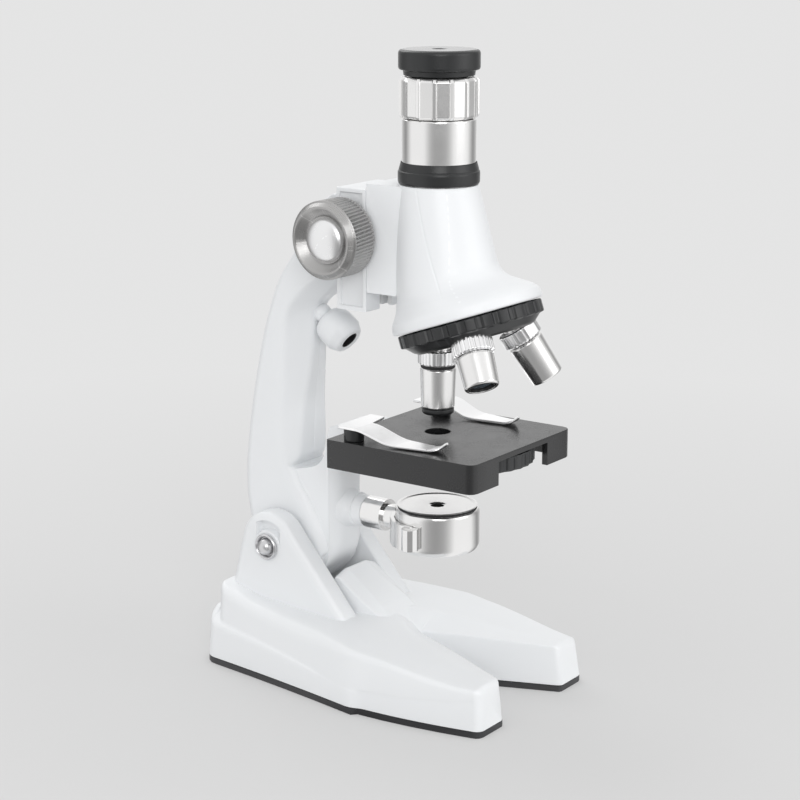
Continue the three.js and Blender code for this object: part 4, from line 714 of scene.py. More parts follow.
# ---- Base ----
@dataclass
class Base:
    """The white foot with its two ears, the floor plate, the tilt bolt and the battery bay."""

    half_length: float = 62.2
    floor: float = 2.35
    rear_half: float = 31.0
    corner: float = 7.0
    tier_height: float = 20.5
    tier_level: float = 22.5
    tier_slope: float = 0.7
    tier_rear: float = 3.6
    tier_side: float = 0.9
    toe_rounding: float = 2.0
    rim_rounding: float = 1.6
    apex_y: float = -14.5
    pivot_y: float = PIVOT_Y
    pivot_height: float = PIVOT_HEIGHT
    trough: float = 20.4
    ear_inner: float = 12.9
    ear_outer: float = 21.2
    ear_top: float = 12.5
    chamfer: float = 2.3
    window_half: float = 5.0
    window_shift: float = 0.4
    window_rim: float = 1.9
    window_sill: float = 0.5
    window_edge: float = 0.22
    window_depth: float = 2.6
    boss_radius: float = 6.0
    ear_face: float = 21.5
    ring_radius: float = 4.8
    ball_radius: float = 3.1
    # Along a toe's inner wall: place and half width.
    inner_line: tuple[tuple[float, float], ...] = (
        (-62.2, 19.7), (-61.6, 18.75), (-60.7, 18.2), (-16.9, 1.2), (-15.1, 0.5),
    )
    # Along the deck: place, height at the side wall, half width and height of the crests, middle height.
    deck: tuple[tuple[float, float, float, float, float], ...] = (
        (-66.0, 16.1, 22.8, 16.6, 15.0), (-52.5, 16.6, 20.9, 17.6, 15.0), (-45.0, 17.4, 19.6, 18.6, 15.3),
        (-35.5, 18.8, 17.2, 19.9, 15.9), (-25.7, 20.3, 13.8, 21.4, 16.6), (-18.6, 21.1, 10.8, 22.6, 17.4),
        (-14.3, 21.5, 8.2, 23.6, 18.5), (-10.9, 21.9, 5.8, 24.2, 21.1), (-3.5, 22.6, 4.2, 25.2, 25.0),
        (6.0, 23.6, 9.0, 24.5, 24.7), (15.6, 24.2, 12.0, 24.6, 24.6), (31.0, 25.3, 12.0, 25.6, 25.6),
        (43.5, 26.9, 12.0, 27.2, 27.2), (53.5, 29.0, 12.0, 29.3, 29.3), (57.5, 30.0, 12.0, 30.2, 30.2),
        (66.0, 30.6, 12.0, 30.8, 30.8),
    )
    # Along the hump: place, height, half width of its top, half width and height of its lower edges.
    hump_line: tuple[tuple[float, float, float, float, float], ...] = (
        (17.0, 24.0, 5.6, 11.0, 23.0), (16.7, 35.0, 5.6, 11.1, 33.6), (14.9, 37.9, 5.6, 11.2, 36.2),
        (13.6, 38.3, 5.7, 11.2, 36.2), (11.5, 37.1, 5.8, 11.2, 34.9), (4.0, 32.3, 6.4, 11.1, 29.6),
        (-3.6, 27.4, 7.4, 10.6, 24.8), (-10.6, 21.6, 8.6, 10.2, 20.0), (-13.0, 19.6, 8.8, 10.0, 18.4),
        (-13.4, 17.0, 8.6, 9.6, 16.6),
    )

    def build(self) -> None:
        """Builds and dresses every piece of the base."""
        piece("base_foot", self.foot(), Body.BASE, WHITE, ["base_shell"], sharp=40)
        piece("base_hump", self.hump(), Body.BASE, WHITE, sharp=50)
        for name, side in SIDES:
            piece(f"base_ear_{name}", self.ear(side), Body.BASE, WHITE, sharp=50)
        refined("base_plate", "floor_plate", Body.BASE, CHARCOAL, bevel=0.3)
        refined("battery_door", "bay_door", Body.BASE, CHARCOAL, bevel=0.2)
        refined("battery_door_screw", "bay_door_screw", Body.BASE, SCREW, bevel=0.1)
        for name, _ in SIDES:
            refined(f"base_screw_{name}", f"floor_screw_{name}", Body.BASE, SCREW, bevel=0.1)
            refined(f"battery_contact_{name}", f"cell_contact_{name}", Body.BASE, BRASS, bevel=0.0)
        for row in ("front", "rear"):
            refined(f"battery_cell_{row}", f"cell_{row}", Body.BASE, JACKET, bevel=0.2)
        self.bolt("pivot_bolt", "tilt_bolt_head", -1)
        self.bolt("pivot_nut", "tilt_bolt_end", 1)

    def side_line(self, upper: bool) -> Array:
        """The plan of the right side wall, from the toe's front to the rear, as rows of half width and place.

        Args:
            upper: True for the upper tier, which is shorter and narrower at the rear.

        Returns:
            Points of shape (n, 2), rising along Y.
        """
        rear = self.half_length - (self.tier_rear if upper else 0.0)
        half = self.rear_half - (self.tier_side if upper else 0.0)
        t = np.linspace(0, 1, 24)[:, None]

        def bend(first: Sequence[float], middle: Sequence[float], last: Sequence[float]) -> Array:
            """A quadratic Bezier curve from the first point to the last."""
            return np.array(first) * (1 - t) ** 2 + 2 * np.array(middle) * t * (1 - t) + np.array(last) * t**2

        quarter = np.linspace(0, QUARTER_TURN, 12)[:, None]
        toe = np.hstack([31.0 + 3.0 * np.sin(quarter), -59.2 - 3.0 * np.cos(quarter)])
        toe_side = bend((34.0, -59.2), (39.0, -36.0), (39.4, -15.8))
        side = bend((41.2, -14.0), (half + 4.0, 20.0), (half, rear - self.corner))
        corner = np.array([half - self.corner, rear - self.corner])
        turn = corner + self.corner * np.hstack([np.cos(quarter), np.sin(quarter)])
        return np.vstack([toe, toe_side[1:], side, turn[1:]])

    def foot(self) -> Skin:
        """Cross-sections of the foot along Y, for the right half, and their mirror image.

        A section runs from the inner floor corner up the inner wall to the deck, over the crest to the side
        wall, down past the step between the tiers to the floor, and back. Between the toes the inner wall
        stands on the V's edge. Behind the V the two halves meet in the middle and have no inner wall. The
        walls lean inwards with height. Each corner is a Bezier arc whose radius changes along the foot.

        Returns:
            The surface.
        """
        quarter = np.linspace(0, QUARTER_TURN, 9)
        rear = self.half_length - self.tier_rear
        y = np.concatenate(
            [
                -self.half_length + 3.0 * (1 - np.cos(quarter)), np.linspace(-58.4, -17.5, 40),
                np.linspace(-17.2, -12.5, 20), np.linspace(-11.8, 49.0, 50),
                np.linspace(49.6, rear - 1.9, 10), rear - self.rim_rounding * (1 - np.sin(quarter)),
                [rear + 0.5], self.half_length - 3.1 * (1 - np.sin(quarter)),
            ]
        )
        y = np.unique(np.round(np.append(y, self.apex_y), 4))
        lower, upper = self.side_line(False), self.side_line(True)
        x_out = np.interp(y, lower[:, 1], lower[:, 0])
        x_out = averaged(x_out, y, 1.6, np.clip(1.5 - np.abs(y + 15) / 6, 0, 1))
        x_up = np.minimum(np.interp(y, upper[:, 1], upper[:, 0]), x_out)
        x_up = averaged(x_up, y, 3.5, np.clip(1.8 - np.abs(y + 15) / 9, 0, 1))
        inner = np.array([*self.inner_line, (self.apex_y, 0.0), (80, 0.0)])
        x_in = np.interp(y, inner[:, 0], inner[:, 1])
        z_edge, crest, z_crest, z_mid = (lookup(np.array(self.deck), y, 0, column) for column in (1, 2, 3, 4))
        well = self.pivot_height - np.sqrt(np.maximum(self.trough**2 - (y - self.pivot_y) ** 2, 0))
        z_mid, z_crest = (np.where(y > 18, np.minimum(z, well), z) for z in (z_mid, z_crest))
        drop = rounded_off(self.toe_rounding - (y + self.half_length), self.toe_rounding)
        drop = drop + rounded_off(y - (rear - self.rim_rounding), self.rim_rounding) * (y <= rear)
        end = rounded_off(y - (self.half_length - self.rim_rounding), self.rim_rounding)
        lean = np.interp(y, [-10, 55], [0.11, 0.07])

        def tier(x: Array) -> Array:
            """Height of the lower tier's top at a distance from the middle."""
            return self.tier_height - self.tier_slope * np.maximum(np.abs(x) - self.tier_level, 0)

        crest = np.clip(crest, x_in + 1.0, x_out - 6.0)
        z_in = z_mid + (z_crest - z_mid) * np.clip(x_in / crest, 0, 1)
        x_wall = x_in + 0.02 * (z_in - self.floor) * (x_in > 0)
        x_edge = x_up - lean * (z_edge - self.floor)
        x_mid = (crest + x_edge) / 2
        z_bow = (z_crest + z_edge) / 2 + 0.25
        x_step = x_up - lean * (tier(x_up) - self.floor)
        x_lip = np.where(y < 4, (x_out + x_up) / 2, x_out) - lean * (tier(x_out) - self.floor)
        level = np.minimum(x_lip - 1.0, self.tier_level)
        tops = tier(x_lip)
        under_edge = np.minimum(tier(x_up) + 0.5, z_edge - drop - 1.2)
        deck = sections(
            y, (x_in, self.floor), (x_wall, z_in - drop), (crest, z_crest - drop), (x_mid, z_bow - drop),
            (x_edge, z_edge - drop), (x_step, under_edge), (x_lip, np.minimum(tops - 0.25, under_edge - 0.7)),
            (x_out, self.floor),
        )
        flat = self.tier_height - end
        ledge = sections(
            y, (x_in, self.floor), (x_wall, flat), (level * 0.4, flat), (level * 0.7, flat), (level, flat),
            ((level + x_lip) / 2, (self.tier_height + tops) / 2 - end), (x_lip, tops - 0.25 - end),
            (x_out, self.floor),
        )
        corners = np.where((y > rear + 0.01)[:, None, None], ledge, deck)
        toe = (y < self.apex_y - 0.3).astype(float)
        soft = np.interp(y, [-55, -10, 10, 50, 58], [1.8, 2.4, 5.0, 4.0, 1.8])
        fold = np.interp(y, [-50, -20, 0, 20], [1.2, 1.0, 0.8, 0.5])
        radii = np.broadcast_arrays(0.3 * toe, 0.7 * toe, fold, 3.0, soft, 0.7, 1.5, 0.3)
        steps = 5
        wall_top = 2 * (steps + 1) - 1  # the last point of the inner wall's upper corner
        ring = soften(corners, np.stack(radii, axis=1), steps, closed=True)
        height = ring[..., 1] - self.floor
        share = (np.abs(y) / self.half_length)[:, None] ** 6
        slant = np.where(y < 0, 0.11, -0.04)[:, None]
        points = np.stack([ring[..., 0], y[:, None] + slant * share * height, ring[..., 1]], axis=-1)
        apex = int(np.argmin(np.abs(y - self.apex_y)))
        skin = Skin()
        for side in (1, -1):
            half = points * np.array([side, 1, 1])
            skin.grid(np.concatenate([fan(half[:1]), half[: apex + 1]]))
            skin.grid(np.concatenate([half[apex:, wall_top:], half[apex:, :1]], axis=1), wrap=False)
            skin.grid(np.concatenate([half[-1:], fan(half[-1:])]))
        return skin

    def hump(self) -> Skin:
        """Cross-sections of the hump before the arm's foot: a flat slope, widely chamfered on either side.

        Returns:
            The surface.
        """
        knots = np.array(self.hump_line)
        along = walked(knots[:, :2])
        at = np.linspace(0, along[-1], 140)
        line = np.stack([np.interp(at, along, column) for column in knots.T], axis=1)
        line[:, 2] = np.maximum(line[:, 2], 1.0)
        y, top, half, wide, low = line.T
        low = np.minimum(low, top - 0.2)
        right = sections(y, (half, top), (wide, low), (wide - 0.4, 14.0))
        loop = np.concatenate([right, right[:, ::-1] * np.array([-1, 1])], axis=1)
        ring = soften(loop, [0.4, 0.6, 0.3, 0.3, 0.6, 0.4], 5, closed=True)
        points = np.stack([ring[..., 0], np.repeat(y[:, None], ring.shape[1], 1), ring[..., 1]], axis=-1)
        return Skin().grid(points, ends=True)

    def ear(self, side: int) -> Skin:
        """One ear: its outline carried across its thickness, a chamfer, and a face with a sunken window.

        Every edge that shows touches the crown's circle, so the chamfer draws the outline in by a share of
        it. The face is drawn as shrinking copies of the outline about the bolt's axis, so a depth can be
        given to every point: inside a rounded window above the bolt's boss the face lies deeper, with steep
        smooth walls.

        Args:
            side: -1 for the left ear, 1 for the right.

        Returns:
            The surface.
        """
        turn = np.linspace(0.224, math.pi * 0.715, 40)
        crown = np.stack(
            [self.pivot_y + self.ear_top * np.cos(turn), self.pivot_height + self.ear_top * np.sin(turn)], -1
        )
        outline = np.vstack([(57.6, 19.0), (55.4, 29.0), crown, (4.7, 25.4), (-0.4, 19.0)])
        closed = np.vstack([outline, outline[:1]])
        walk = walked(closed)
        at = np.linspace(0, walk[-1], 361)[:-1]
        rim = np.stack([np.interp(at, walk, closed[:, 0]), np.interp(at, walk, closed[:, 1])], -1)
        middle = np.array([self.pivot_y, self.pivot_height])
        rows, depths = [], []
        back = [(self.ear_inner, 0.8), (self.ear_inner + 0.3, 0.2), (self.ear_inner + 0.8, 0.0)]
        face = self.ear_outer - self.chamfer
        edge = [
            (face + self.chamfer * math.sin(t), self.chamfer * 1.25 * (1 - math.cos(t)))
            for t in np.linspace(0, QUARTER_TURN, 9)
        ]
        for x, inset in (*back, *edge):
            rows.append(middle + (rim - middle) * (1 - inset / self.ear_top))
            depths.append(np.full(len(rim), x))
        for share in np.concatenate([np.linspace(0.985, 0.06, 110), [0.0]]):
            ring = middle + (rows[len(back) + len(edge) - 1] - middle) * share
            off = ring - middle
            reach = np.linalg.norm(off, axis=1)
            wide = np.abs(off[:, 0] + self.window_shift) - self.window_half
            high = reach - (self.ear_top - self.window_rim)
            boss = self.boss_radius - reach
            under = -off[:, 1] + self.window_sill
            outside = np.maximum.reduce([wide, high, boss, under])
            sunk = 0.5 - 0.5 * np.tanh(outside / self.window_edge)
            rows.append(ring)
            depths.append(self.ear_outer - self.window_depth * sunk)
        grid = np.stack(rows)
        x = np.stack(depths)
        return Skin().grid(np.concatenate([side * x[..., None], grid], axis=2), ends=True)

    def bolt(self, node: str, name: str, side: int) -> None:
        """The ball in its ring that shows at one end of the tilt bolt.

        Args:
            node: the frame node that it stands for.
            name: the piece's name.
            side: -1 for the left ear, 1 for the right.
        """
        ball = self.ball_radius
        dome = [(ball * math.cos(t), 0.2 + ball * math.sin(t)) for t in np.linspace(0.12, QUARTER_TURN, 9)]
        profile = [
            (0, -14), (2.6, -14), (2.6, -0.4), (self.ring_radius, 0.0), (self.ring_radius, 0.7),
            (self.ring_radius - 0.5, 1.3), (self.ring_radius - 1.1, 0.7), (ball + 0.2, -0.6), *dome,
        ]
        place = Place((side * self.ear_face, self.pivot_y, self.pivot_height), turn_y(side * QUARTER_TURN))
        piece(name, turned(profile, place, 0.2, 64), Body.BASE, SCREW, [node])


# ---- Arm ----
@dataclass
class Arm:
    """The white arm: a wide curved body with a rib up its front, and a belly that carries stage and lamp."""

    half_width: float = 11.3
    foot_radius: float = 18.3
    pivot_y: float = PIVOT_Y
    pivot_height: float = PIVOT_HEIGHT
    top: float = 174.6
    side_start: float = 43.0
    rib_start: float = 73.5
    belly_half_width: float = 8.8
    belly_middle: tuple[float, float] = (20.3, 58.0)
    belly_rounding: float = 4.6
    belly_top: float = 83.4
    seam_depth: float = 0.16
    seam_width: float = 0.22
    rear_line: tuple[tuple[float, float], ...] = (
        (52.5, 40.0), (55.3, 50.0), (57.2, 60.0), (57.5, 68.0), (57.0, 77.0), (54.4, 95.0), (50.7, 113.0),
        (46.7, 128.0), (41.3, 142.0), (34.4, 152.2), (28.7, 162.0), (21.8, 171.2), (15.2, 175.0),
    )
    side_line: tuple[tuple[float, float], ...] = (
        (21.5, 43.0), (24.1, 50.5), (27.3, 57.0), (31.2, 63.6), (34.4, 68.0), (36.6, 73.0), (38.0, 79.0),
        (38.8, 90.0), (38.0, 102.0), (37.0, 118.0), (36.5, 128.0), (33.5, 134.5), (27.5, 140.5),
        (20.0, 146.0), (14.2, 150.5), (14.0, 175.0),
    )
    valley_line: tuple[tuple[float, float], ...] = (
        (18.0, 43.0), (18.3, 49.0), (19.0, 53.5), (21.0, 58.0), (24.5, 63.0), (27.5, 68.5), (31.0, 74.0),
        (33.6, 79.0), (35.2, 90.0),
    )
    rib_line: tuple[tuple[float, float, float], ...] = (
        (36.0, 73.5, 4.0), (34.2, 76.0, 6.2), (32.9, 79.0, 7.4), (32.4, 88.0, 7.1), (31.8, 98.0, 5.9),
        (30.6, 107.0, 4.8), (29.6, 116.0, 3.9), (29.5, 124.0, 3.4), (29.3, 130.5, 3.4), (27.5, 134.0, 3.6),
        (23.9, 137.0, 3.8), (20.3, 140.4, 4.0), (16.6, 144.0, 4.4), (13.4, 147.2, 5.0), (13.0, 151.0, 9.4),
        (13.0, 175.0, 9.6),
    )

    def build(self) -> None:
        """Builds and dresses every piece that is fixed to the arm's shells."""
        piece("arm_body", self.body(), Body.ARM, WHITE, ["arm_left_shell", "arm_right_shell"], sharp=50)
        piece("arm_belly", self.belly(), Body.ARM, WHITE, sharp=50)
        for level in ("upper", "lower"):
            refined(f"arm_screw_{level}", f"shell_screw_{level}", Body.ARM, SCREW, bevel=0.1)

    def body(self) -> Skin:
        """Level sections of the arm, from the round foot to the flat top.

        A section runs from the front middle over the rib's corner, the valley and the side's front edge to
        the rear corner and the rear middle. Below the pivot its front and rear follow the foot's circle. The
        corners are Bezier arcs, and a hair-line groove marks the seam at the middle.

        Returns:
            The surface.
        """
        low = self.pivot_height - self.foot_radius * np.cos(np.linspace(0.03, 1.4, 26))
        z = np.concatenate([low, np.linspace(low[-1] + 0.9, self.top, 150)])
        drop = np.clip(self.pivot_height - z, 0, self.foot_radius)
        chord = np.sqrt(np.maximum(self.foot_radius**2 - drop**2, 0.01))
        rear = np.where(z < self.pivot_height, self.pivot_y + chord, lookup(self.rear_line, z))
        rear = np.minimum(rear, np.where(z < 60, lookup(self.rear_line, np.maximum(z, 40.0)), rear))
        low_side = self.pivot_y - chord + 1.3 + 3.4 * np.clip((self.side_start - z) / 8, 0, 1)
        side = np.where(z < self.side_start, low_side, lookup(self.side_line, z))
        valley = np.where(z < self.side_start, side, np.minimum(lookup(self.valley_line, z), side))
        front, half = (lookup(self.rib_line, np.maximum(z, self.rib_start), 1, column) for column in (0, 2))
        under = z < self.rib_start
        front = np.where(under, np.maximum(valley - 0.5, side - 3), front)
        rise = np.clip((z - 39.5) / 8, 0, 1)
        rise = rise * rise * (3 - 2 * rise)
        round_front = self.pivot_y - chord
        front = round_front + (front - round_front) * rise
        half = np.where(under, 4.0 + 2.0 * rise, half)
        on_rib = np.clip((z - self.rib_start) / 8, 0, 1)
        flank_x = 8.5 * (1 - on_rib) + (half + (self.half_width - half) * 0.5) * on_rib
        low_flank = front * 0.65 + side * 0.35
        low_flank = low_flank + (valley - low_flank) * rise
        flank_y = low_flank * (1 - on_rib) + (front + (side - front) * 0.52) * on_rib
        width = self.half_width - 1.2 * np.clip(1 - (z - low[0]) / 5, 0, 1) ** 2
        crown = np.minimum(2.6, (rear - side) * 0.3)
        corners = sections(
            z, (0.0, front), (half, front), (flank_x, np.maximum(flank_y, front + 0.1)),
            (width - 0.35, np.maximum(side, flank_y + 0.1)), (width, side + crown), (width, rear - crown),
            (width - 2.7, rear), (0.0, rear),
        )
        steps = 6
        outline = soften(corners, [0, 1.3, 2.6, 1.6, 1.2, 2.2, 2.6, 0], steps)

        def seam(x: Array) -> Array:
            """Depth of the groove at a distance from the middle: a bell curve."""
            return np.exp(-((x / self.seam_width) ** 2)) * self.seam_depth

        outline[..., 1] += seam(outline[..., 0]) * np.sign((front + rear)[:, None] / 2 - outline[..., 1])
        beside = np.array([0.0, 0.15, 0.3, 0.6])
        lead = sections(z, *((x, front + seam(x)) for x in beside))
        tail = sections(z, *((x, rear - seam(x)) for x in beside[::-1]))
        half_ring = np.concatenate([lead, outline[:, steps + 1 : -steps - 1], tail], axis=1)
        other = half_ring[:, ::-1] * np.array([-1, 1])
        ring = np.concatenate([half_ring, other], axis=1)
        points = np.concatenate([ring, np.repeat(z[:, None, None], ring.shape[1], 1)], axis=2)
        return Skin().grid(points, ends=True)

    def belly(self) -> Skin:
        """Side-on outlines of the belly at stations across its width.

        The outline's front is moved back near the sides by a quarter circle, r - sqrt(r^2 - (r - d)^2) at a
        distance d from the side face, so that the front rounds into the sides. The share fades to the rear,
        where the belly runs on into the arm. The flat sides are fans about a point that sees the whole
        outline.

        Returns:
            The surface.
        """
        reach = self.foot_radius - 0.3
        foot = [
            (self.pivot_y + reach * math.cos(t), self.pivot_height + reach * math.sin(t))
            for t in np.linspace(-0.9, -2.35, 10)
        ]
        top = self.belly_top
        outline = np.array(
            [
                (44.0, 70.0), *foot, (19.2, 40.2), (16.7, 45.0), (16.2, 50.5), (16.5, 62.0), (16.2, 70.0),
                (16.2, top), (20.4, top), (21.2, top - 3.2), (22.5, top - 5.6), (24.8, top - 7.8),
                (28.0, top - 9.0), (34.0, top - 10.4),
            ]
        )
        rounding = [0.5, *[1.5] * len(foot), 3.2, 3.2, 3.2, 3.0, 2.0, 0.5, 0.4, 1.2, 1.5, 1.5, 1.5, 1.5]
        line = soften(outline, rounding, 5, closed=True)
        share = np.clip((21.2 - line[:, 0]) / 5.0, 0, 1)
        across = self.belly_half_width - self.belly_rounding * (1 - np.sin(np.linspace(0, QUARTER_TURN, 12)))
        stations = np.concatenate([-across[::-1], np.linspace(-across[0], across[0], 8)[1:-1], across])
        inset = np.clip(self.belly_half_width - np.abs(stations), 0, self.belly_rounding)
        left = self.belly_rounding**2 - (self.belly_rounding - inset) ** 2
        drawn = np.minimum(self.belly_rounding - np.sqrt(np.maximum(left, 0)), 3.2)
        rings = np.repeat(line[None], len(stations), 0)
        rings[..., 0] += drawn[:, None] * share[None]
        x = np.repeat(stations[:, None, None], len(line), 1)
        points = np.concatenate([x, rings], axis=2)
        caps = [
            np.broadcast_to((end, *self.belly_middle), points[:1].shape)
            for end in (stations[0], stations[-1])
        ]
        return Skin().grid(np.concatenate([caps[0], points, caps[1]]))


# ---- Focus drive ----
@dataclass
class FocusDrive:
    """The block at the arm's top with the shaft, its pinion and the two knurled knobs."""

    axis_y: float = 8.6
    axis_height: float = 160.9
    first_x: float = 13.3
    radius: float = 13.6
    face_radius: float = 12.9
    lip_radius: float = 11.2
    cap_radius: float = 7.6
    length: float = 13.2
    ridges: int = 66
    twist: float = 0.007
    ridge_depth: float = 0.6

    def build(self) -> None:
        """Builds and dresses the block, shaft, pinion and knobs."""
        refined("focus_block", "focus_frame", Body.ARM, WHITE, bevel=0.35)
        refined("focus_shaft", "focus_axle", Body.DRIVE, SCREW, bevel=0.0)
        refined("focus_pinion", "focus_gear", Body.DRIVE, BRASS, bevel=0.0)
        for name, side in SIDES:
            place = Place((side * self.first_x, self.axis_y, self.axis_height), turn_y(side * QUARTER_TURN))
            piece(
                f"knurled_knob_{name}", self.knob(place), Body.DRIVE, TURNED, [f"focus_knob_{name}"], sharp=60
            )
            piece(f"knob_dome_{name}", self.dome(place), Body.DRIVE, DOMED, [f"knob_cap_{name}"])

    def knurl(self, angle: Array, height: Array, radius: Array) -> Array:
        """Slanting ridges round the rim: a rounded wave in the angle that shifts with height and fades out.

        Args:
            angle: round the axis.
            height: along the axis.
            radius: the plain radius.

        Returns:
            What to take off the radius.
        """
        wave = 0.5 - 0.5 * np.cos(self.ridges * (angle + self.twist * height))
        ends = np.clip((height - 0.5) / 0.6, 0, 1) * np.clip((self.length - 2.2 - height) / 0.6, 0, 1)
        return self.ridge_depth * wave**1.5 * ends * (radius > self.face_radius + 0.2)

    def knob(self, place: Place) -> Skin:
        """The knob's rim, bevelled face, bright lip and conical dish.

        Args:
            place: where it stands.

        Returns:
            The surface.
        """
        rim = self.length - 2.0
        wall = [(self.radius, h) for h in np.linspace(0.5, rim - 0.1, 18)]
        profile = [
            (1.7, 0.0), (self.radius - 0.7, 0.0), *wall, (self.face_radius, rim + 0.3),
            (self.lip_radius + 0.5, self.length - 0.1), (self.lip_radius, self.length),
            (self.lip_radius - 0.5, self.length - 0.35), (self.cap_radius + 0.5, self.length - 2.9),
            (self.cap_radius - 0.8, self.length - 3.1), (self.cap_radius - 0.8, self.length - 4.2),
            (1.7, self.length - 4.2),
        ]
        return turned(profile, place, 0.12, self.ridges * 10, self.knurl, closed=True)

    def dome(self, place: Place) -> Skin:
        """The domed cap that closes the dish.

        Args:
            place: where it stands.

        Returns:
            The surface.
        """
        low, outer, inner = self.length - 3.0, self.cap_radius, self.cap_radius - 1.1
        crown = [
            (outer * math.cos(t), low + 0.25 + 3.0 * math.sin(t)) for t in np.linspace(0.0, QUARTER_TURN, 12)
        ]
        return turned([(0, low - 0.9), (inner, low - 0.9), (inner, low), (outer, low), *crown], place, 0.1)


# ---- Head, turret and objectives ----
@dataclass
class Head:
    """The bell-shaped head, its carriage, and the turret of three objectives."""

    optic_y: float = OPTIC_Y
    apex: float = 172.3
    tilt: float = math.radians(19)
    around: int = 576
    rim_distance: float = 38.7
    turret_radius: float = 25.2
    hub_radius: float = 21.0
    flutes: int = 26
    flute_depth: float = 0.75
    collar_top: float = 49.4
    collar_length: float = 5.2
    collar_radius: float = 7.1
    collar_ridges: int = 28
    collar_depth: float = 0.62
    barrel_top: float = 6.35
    barrel_tip: float = 5.85
    neck_half: float = 11.95
    tips: tuple[float, float, float] = (72.2, 66.1, 69.9)
    # The seam's two ends: degrees round the bell, and height.
    seam_low: tuple[float, float] = (214.0, 144.5)
    seam_high: tuple[float, float] = (172.0, 180.0)
    seam_depth: float = 0.15
    # Up the bell: how far forward, height, radius and share of the tilt.
    rings: tuple[tuple[float, float, float, float], ...] = (
        (12.05, 136.3, 26.3, 1.0), (11.6, 137.7, 26.2, 1.0), (11.0, 139.2, 25.7, 1.0),
        (9.9, 141.2, 23.8, 0.97), (7.9, 143.0, 21.6, 0.92), (5.5, 145.4, 19.2, 0.85),
        (3.8, 149.4, 17.8, 0.72), (2.7, 156.0, 16.9, 0.5), (1.5, 166.0, 15.6, 0.25), (0.6, 174.0, 14.5, 0.08),
        (0.0, 179.3, 13.75, 0.0),
    )

    def build(self) -> None:
        """Builds and dresses the head and everything on its turret."""
        piece("head_bell", self.bell(), Body.HEAD, WHITE, ["head_housing"], sharp=45)
        refined("head_carriage", "focus_carriage", Body.HEAD, WHITE, bevel=0.45)
        piece("head_neck", self.neck(), Body.HEAD, WHITE, sharp=60)
        refined("focus_rack", "focus_rack_bar", Body.HEAD, BRASS, bevel=0.0)
        refined("nosepiece_plate", "nosepiece_floor", Body.HEAD, BLACK, bevel=0.0)
        refined("turret_screw", "turret_bolt", Body.TURRET, SCREW, bevel=0.1)
        piece("turret_ring", self.turret_ring(), Body.TURRET, BLACK, ["turret_disc"], sharp=40)
        for index, letter in enumerate("abc"):
            self.objective(f"objective_{letter}", index)

    def ring_points(self, rings: Array) -> Array:
        """Circles that stand forward of the optical axis and lean by a share of the tilt.

        Args:
            rings: rows of how far forward, height, radius and share of the tilt.

        Returns:
            Points of shape (rows, points around, 3).
        """
        angle = np.linspace(0, TAU, self.around, endpoint=False)[None, :]
        forward, height, radius, share = (rings[:, i : i + 1] for i in range(4))
        lean = self.tilt * share
        reach = radius * np.sin(angle)
        y = self.optic_y - forward + reach * np.cos(lean)
        return np.stack([radius * np.cos(angle), y, height - reach * np.sin(lean)], axis=-1)

    def bell(self) -> Skin:
        """The head's smooth skin with a rounded rim, a hollow underneath and a faint seam down its left side.

        The seam is a groove whose depth is a bell curve across a line that leans a little as it rises.

        Returns:
            The surface.
        """
        rim = np.array([(12.12, 135.53, 25.4, 1.0), (12.1, 135.6, 25.8, 1.0), (12.08, 135.9, 26.15, 1.0)])
        inside = np.array([(11.2, 139.5, 22.4, 1.0), (12.12, 135.6, 24.3, 1.0)])
        top = np.array([(0.0, 179.9, 13.4, 0.0), (0.0, 180.0, 12.9, 0.0), (0.0, 180.0, 9.0, 0.0)])
        points = self.ring_points(np.concatenate([inside, rim, spline(self.rings, 120), top]))
        middle = np.array([0.0, self.optic_y - 2.0])
        off = points[..., :2] - middle
        turn = np.degrees(np.arctan2(off[..., 1], off[..., 0])) % 360
        (low_turn, low), (high_turn, high) = self.seam_low, self.seam_high
        seam = np.interp(points[..., 2], [low, high], [low_turn, high_turn])
        across = np.radians(turn - seam) * np.linalg.norm(off, axis=-1)
        fade = np.clip((points[..., 2] - low) / 3, 0, 1) * np.clip(high - points[..., 2], 0, 1)
        points[..., :2] -= off / 17 * (self.seam_depth * fade * np.exp(-((across / 0.28) ** 2)))[..., None]
        return Skin().grid(points, ends=True)

    def neck(self) -> Skin:
        """The block between the carriage and the bell, a hair narrower than the carriage.

        Returns:
            The surface.
        """
        half, front, back = self.neck_half, -17.0, -2.0
        corners = np.array([(-half, front), (half, front), (half, back), (-half, back)])
        plan = soften(corners, 0.5, closed=True)
        levels = np.concatenate([[142.4, 142.5, 142.8], np.linspace(150, 172, 6), [179.1, 179.4, 179.5]])
        draw = np.array([0.5, 0.15, 0.0, *[0.0] * 6, 0.0, 0.15, 0.5])
        middle = plan.mean(0)
        rings = middle + (plan - middle)[None] * (1 - draw / 12)[:, None, None]
        height = np.repeat(levels[:, None, None], len(plan), 1)
        return Skin().grid(np.concatenate([rings, height], axis=2), ends=True)

    def turret_place(self, index: int | None = None) -> Place:
        """The turret's own place, or that of one objective's axis.

        Args:
            index: which objective, from 0, or None for the turret.

        Returns:
            The place, whose Z axis is the axis asked for.
        """
        turn = turn_x(-self.tilt)
        if index is not None:
            turn = turn @ turn_z(index * TAU / 3) @ turn_x(self.tilt)
        return Place((0.0, self.optic_y, self.apex), turn)

    def flute(self, angle: Array, height: Array, radius: Array) -> Array:
        """Broad ridges and narrow grooves: a steepened wave in the angle, only on the rim's outer wall."""
        groove = 0.5 + 0.5 * np.tanh(5 * (np.cos(self.flutes * angle) - 0.35))
        return self.flute_depth * groove * np.clip((radius - self.turret_radius + 1.6) / 1.2, 0, 1)

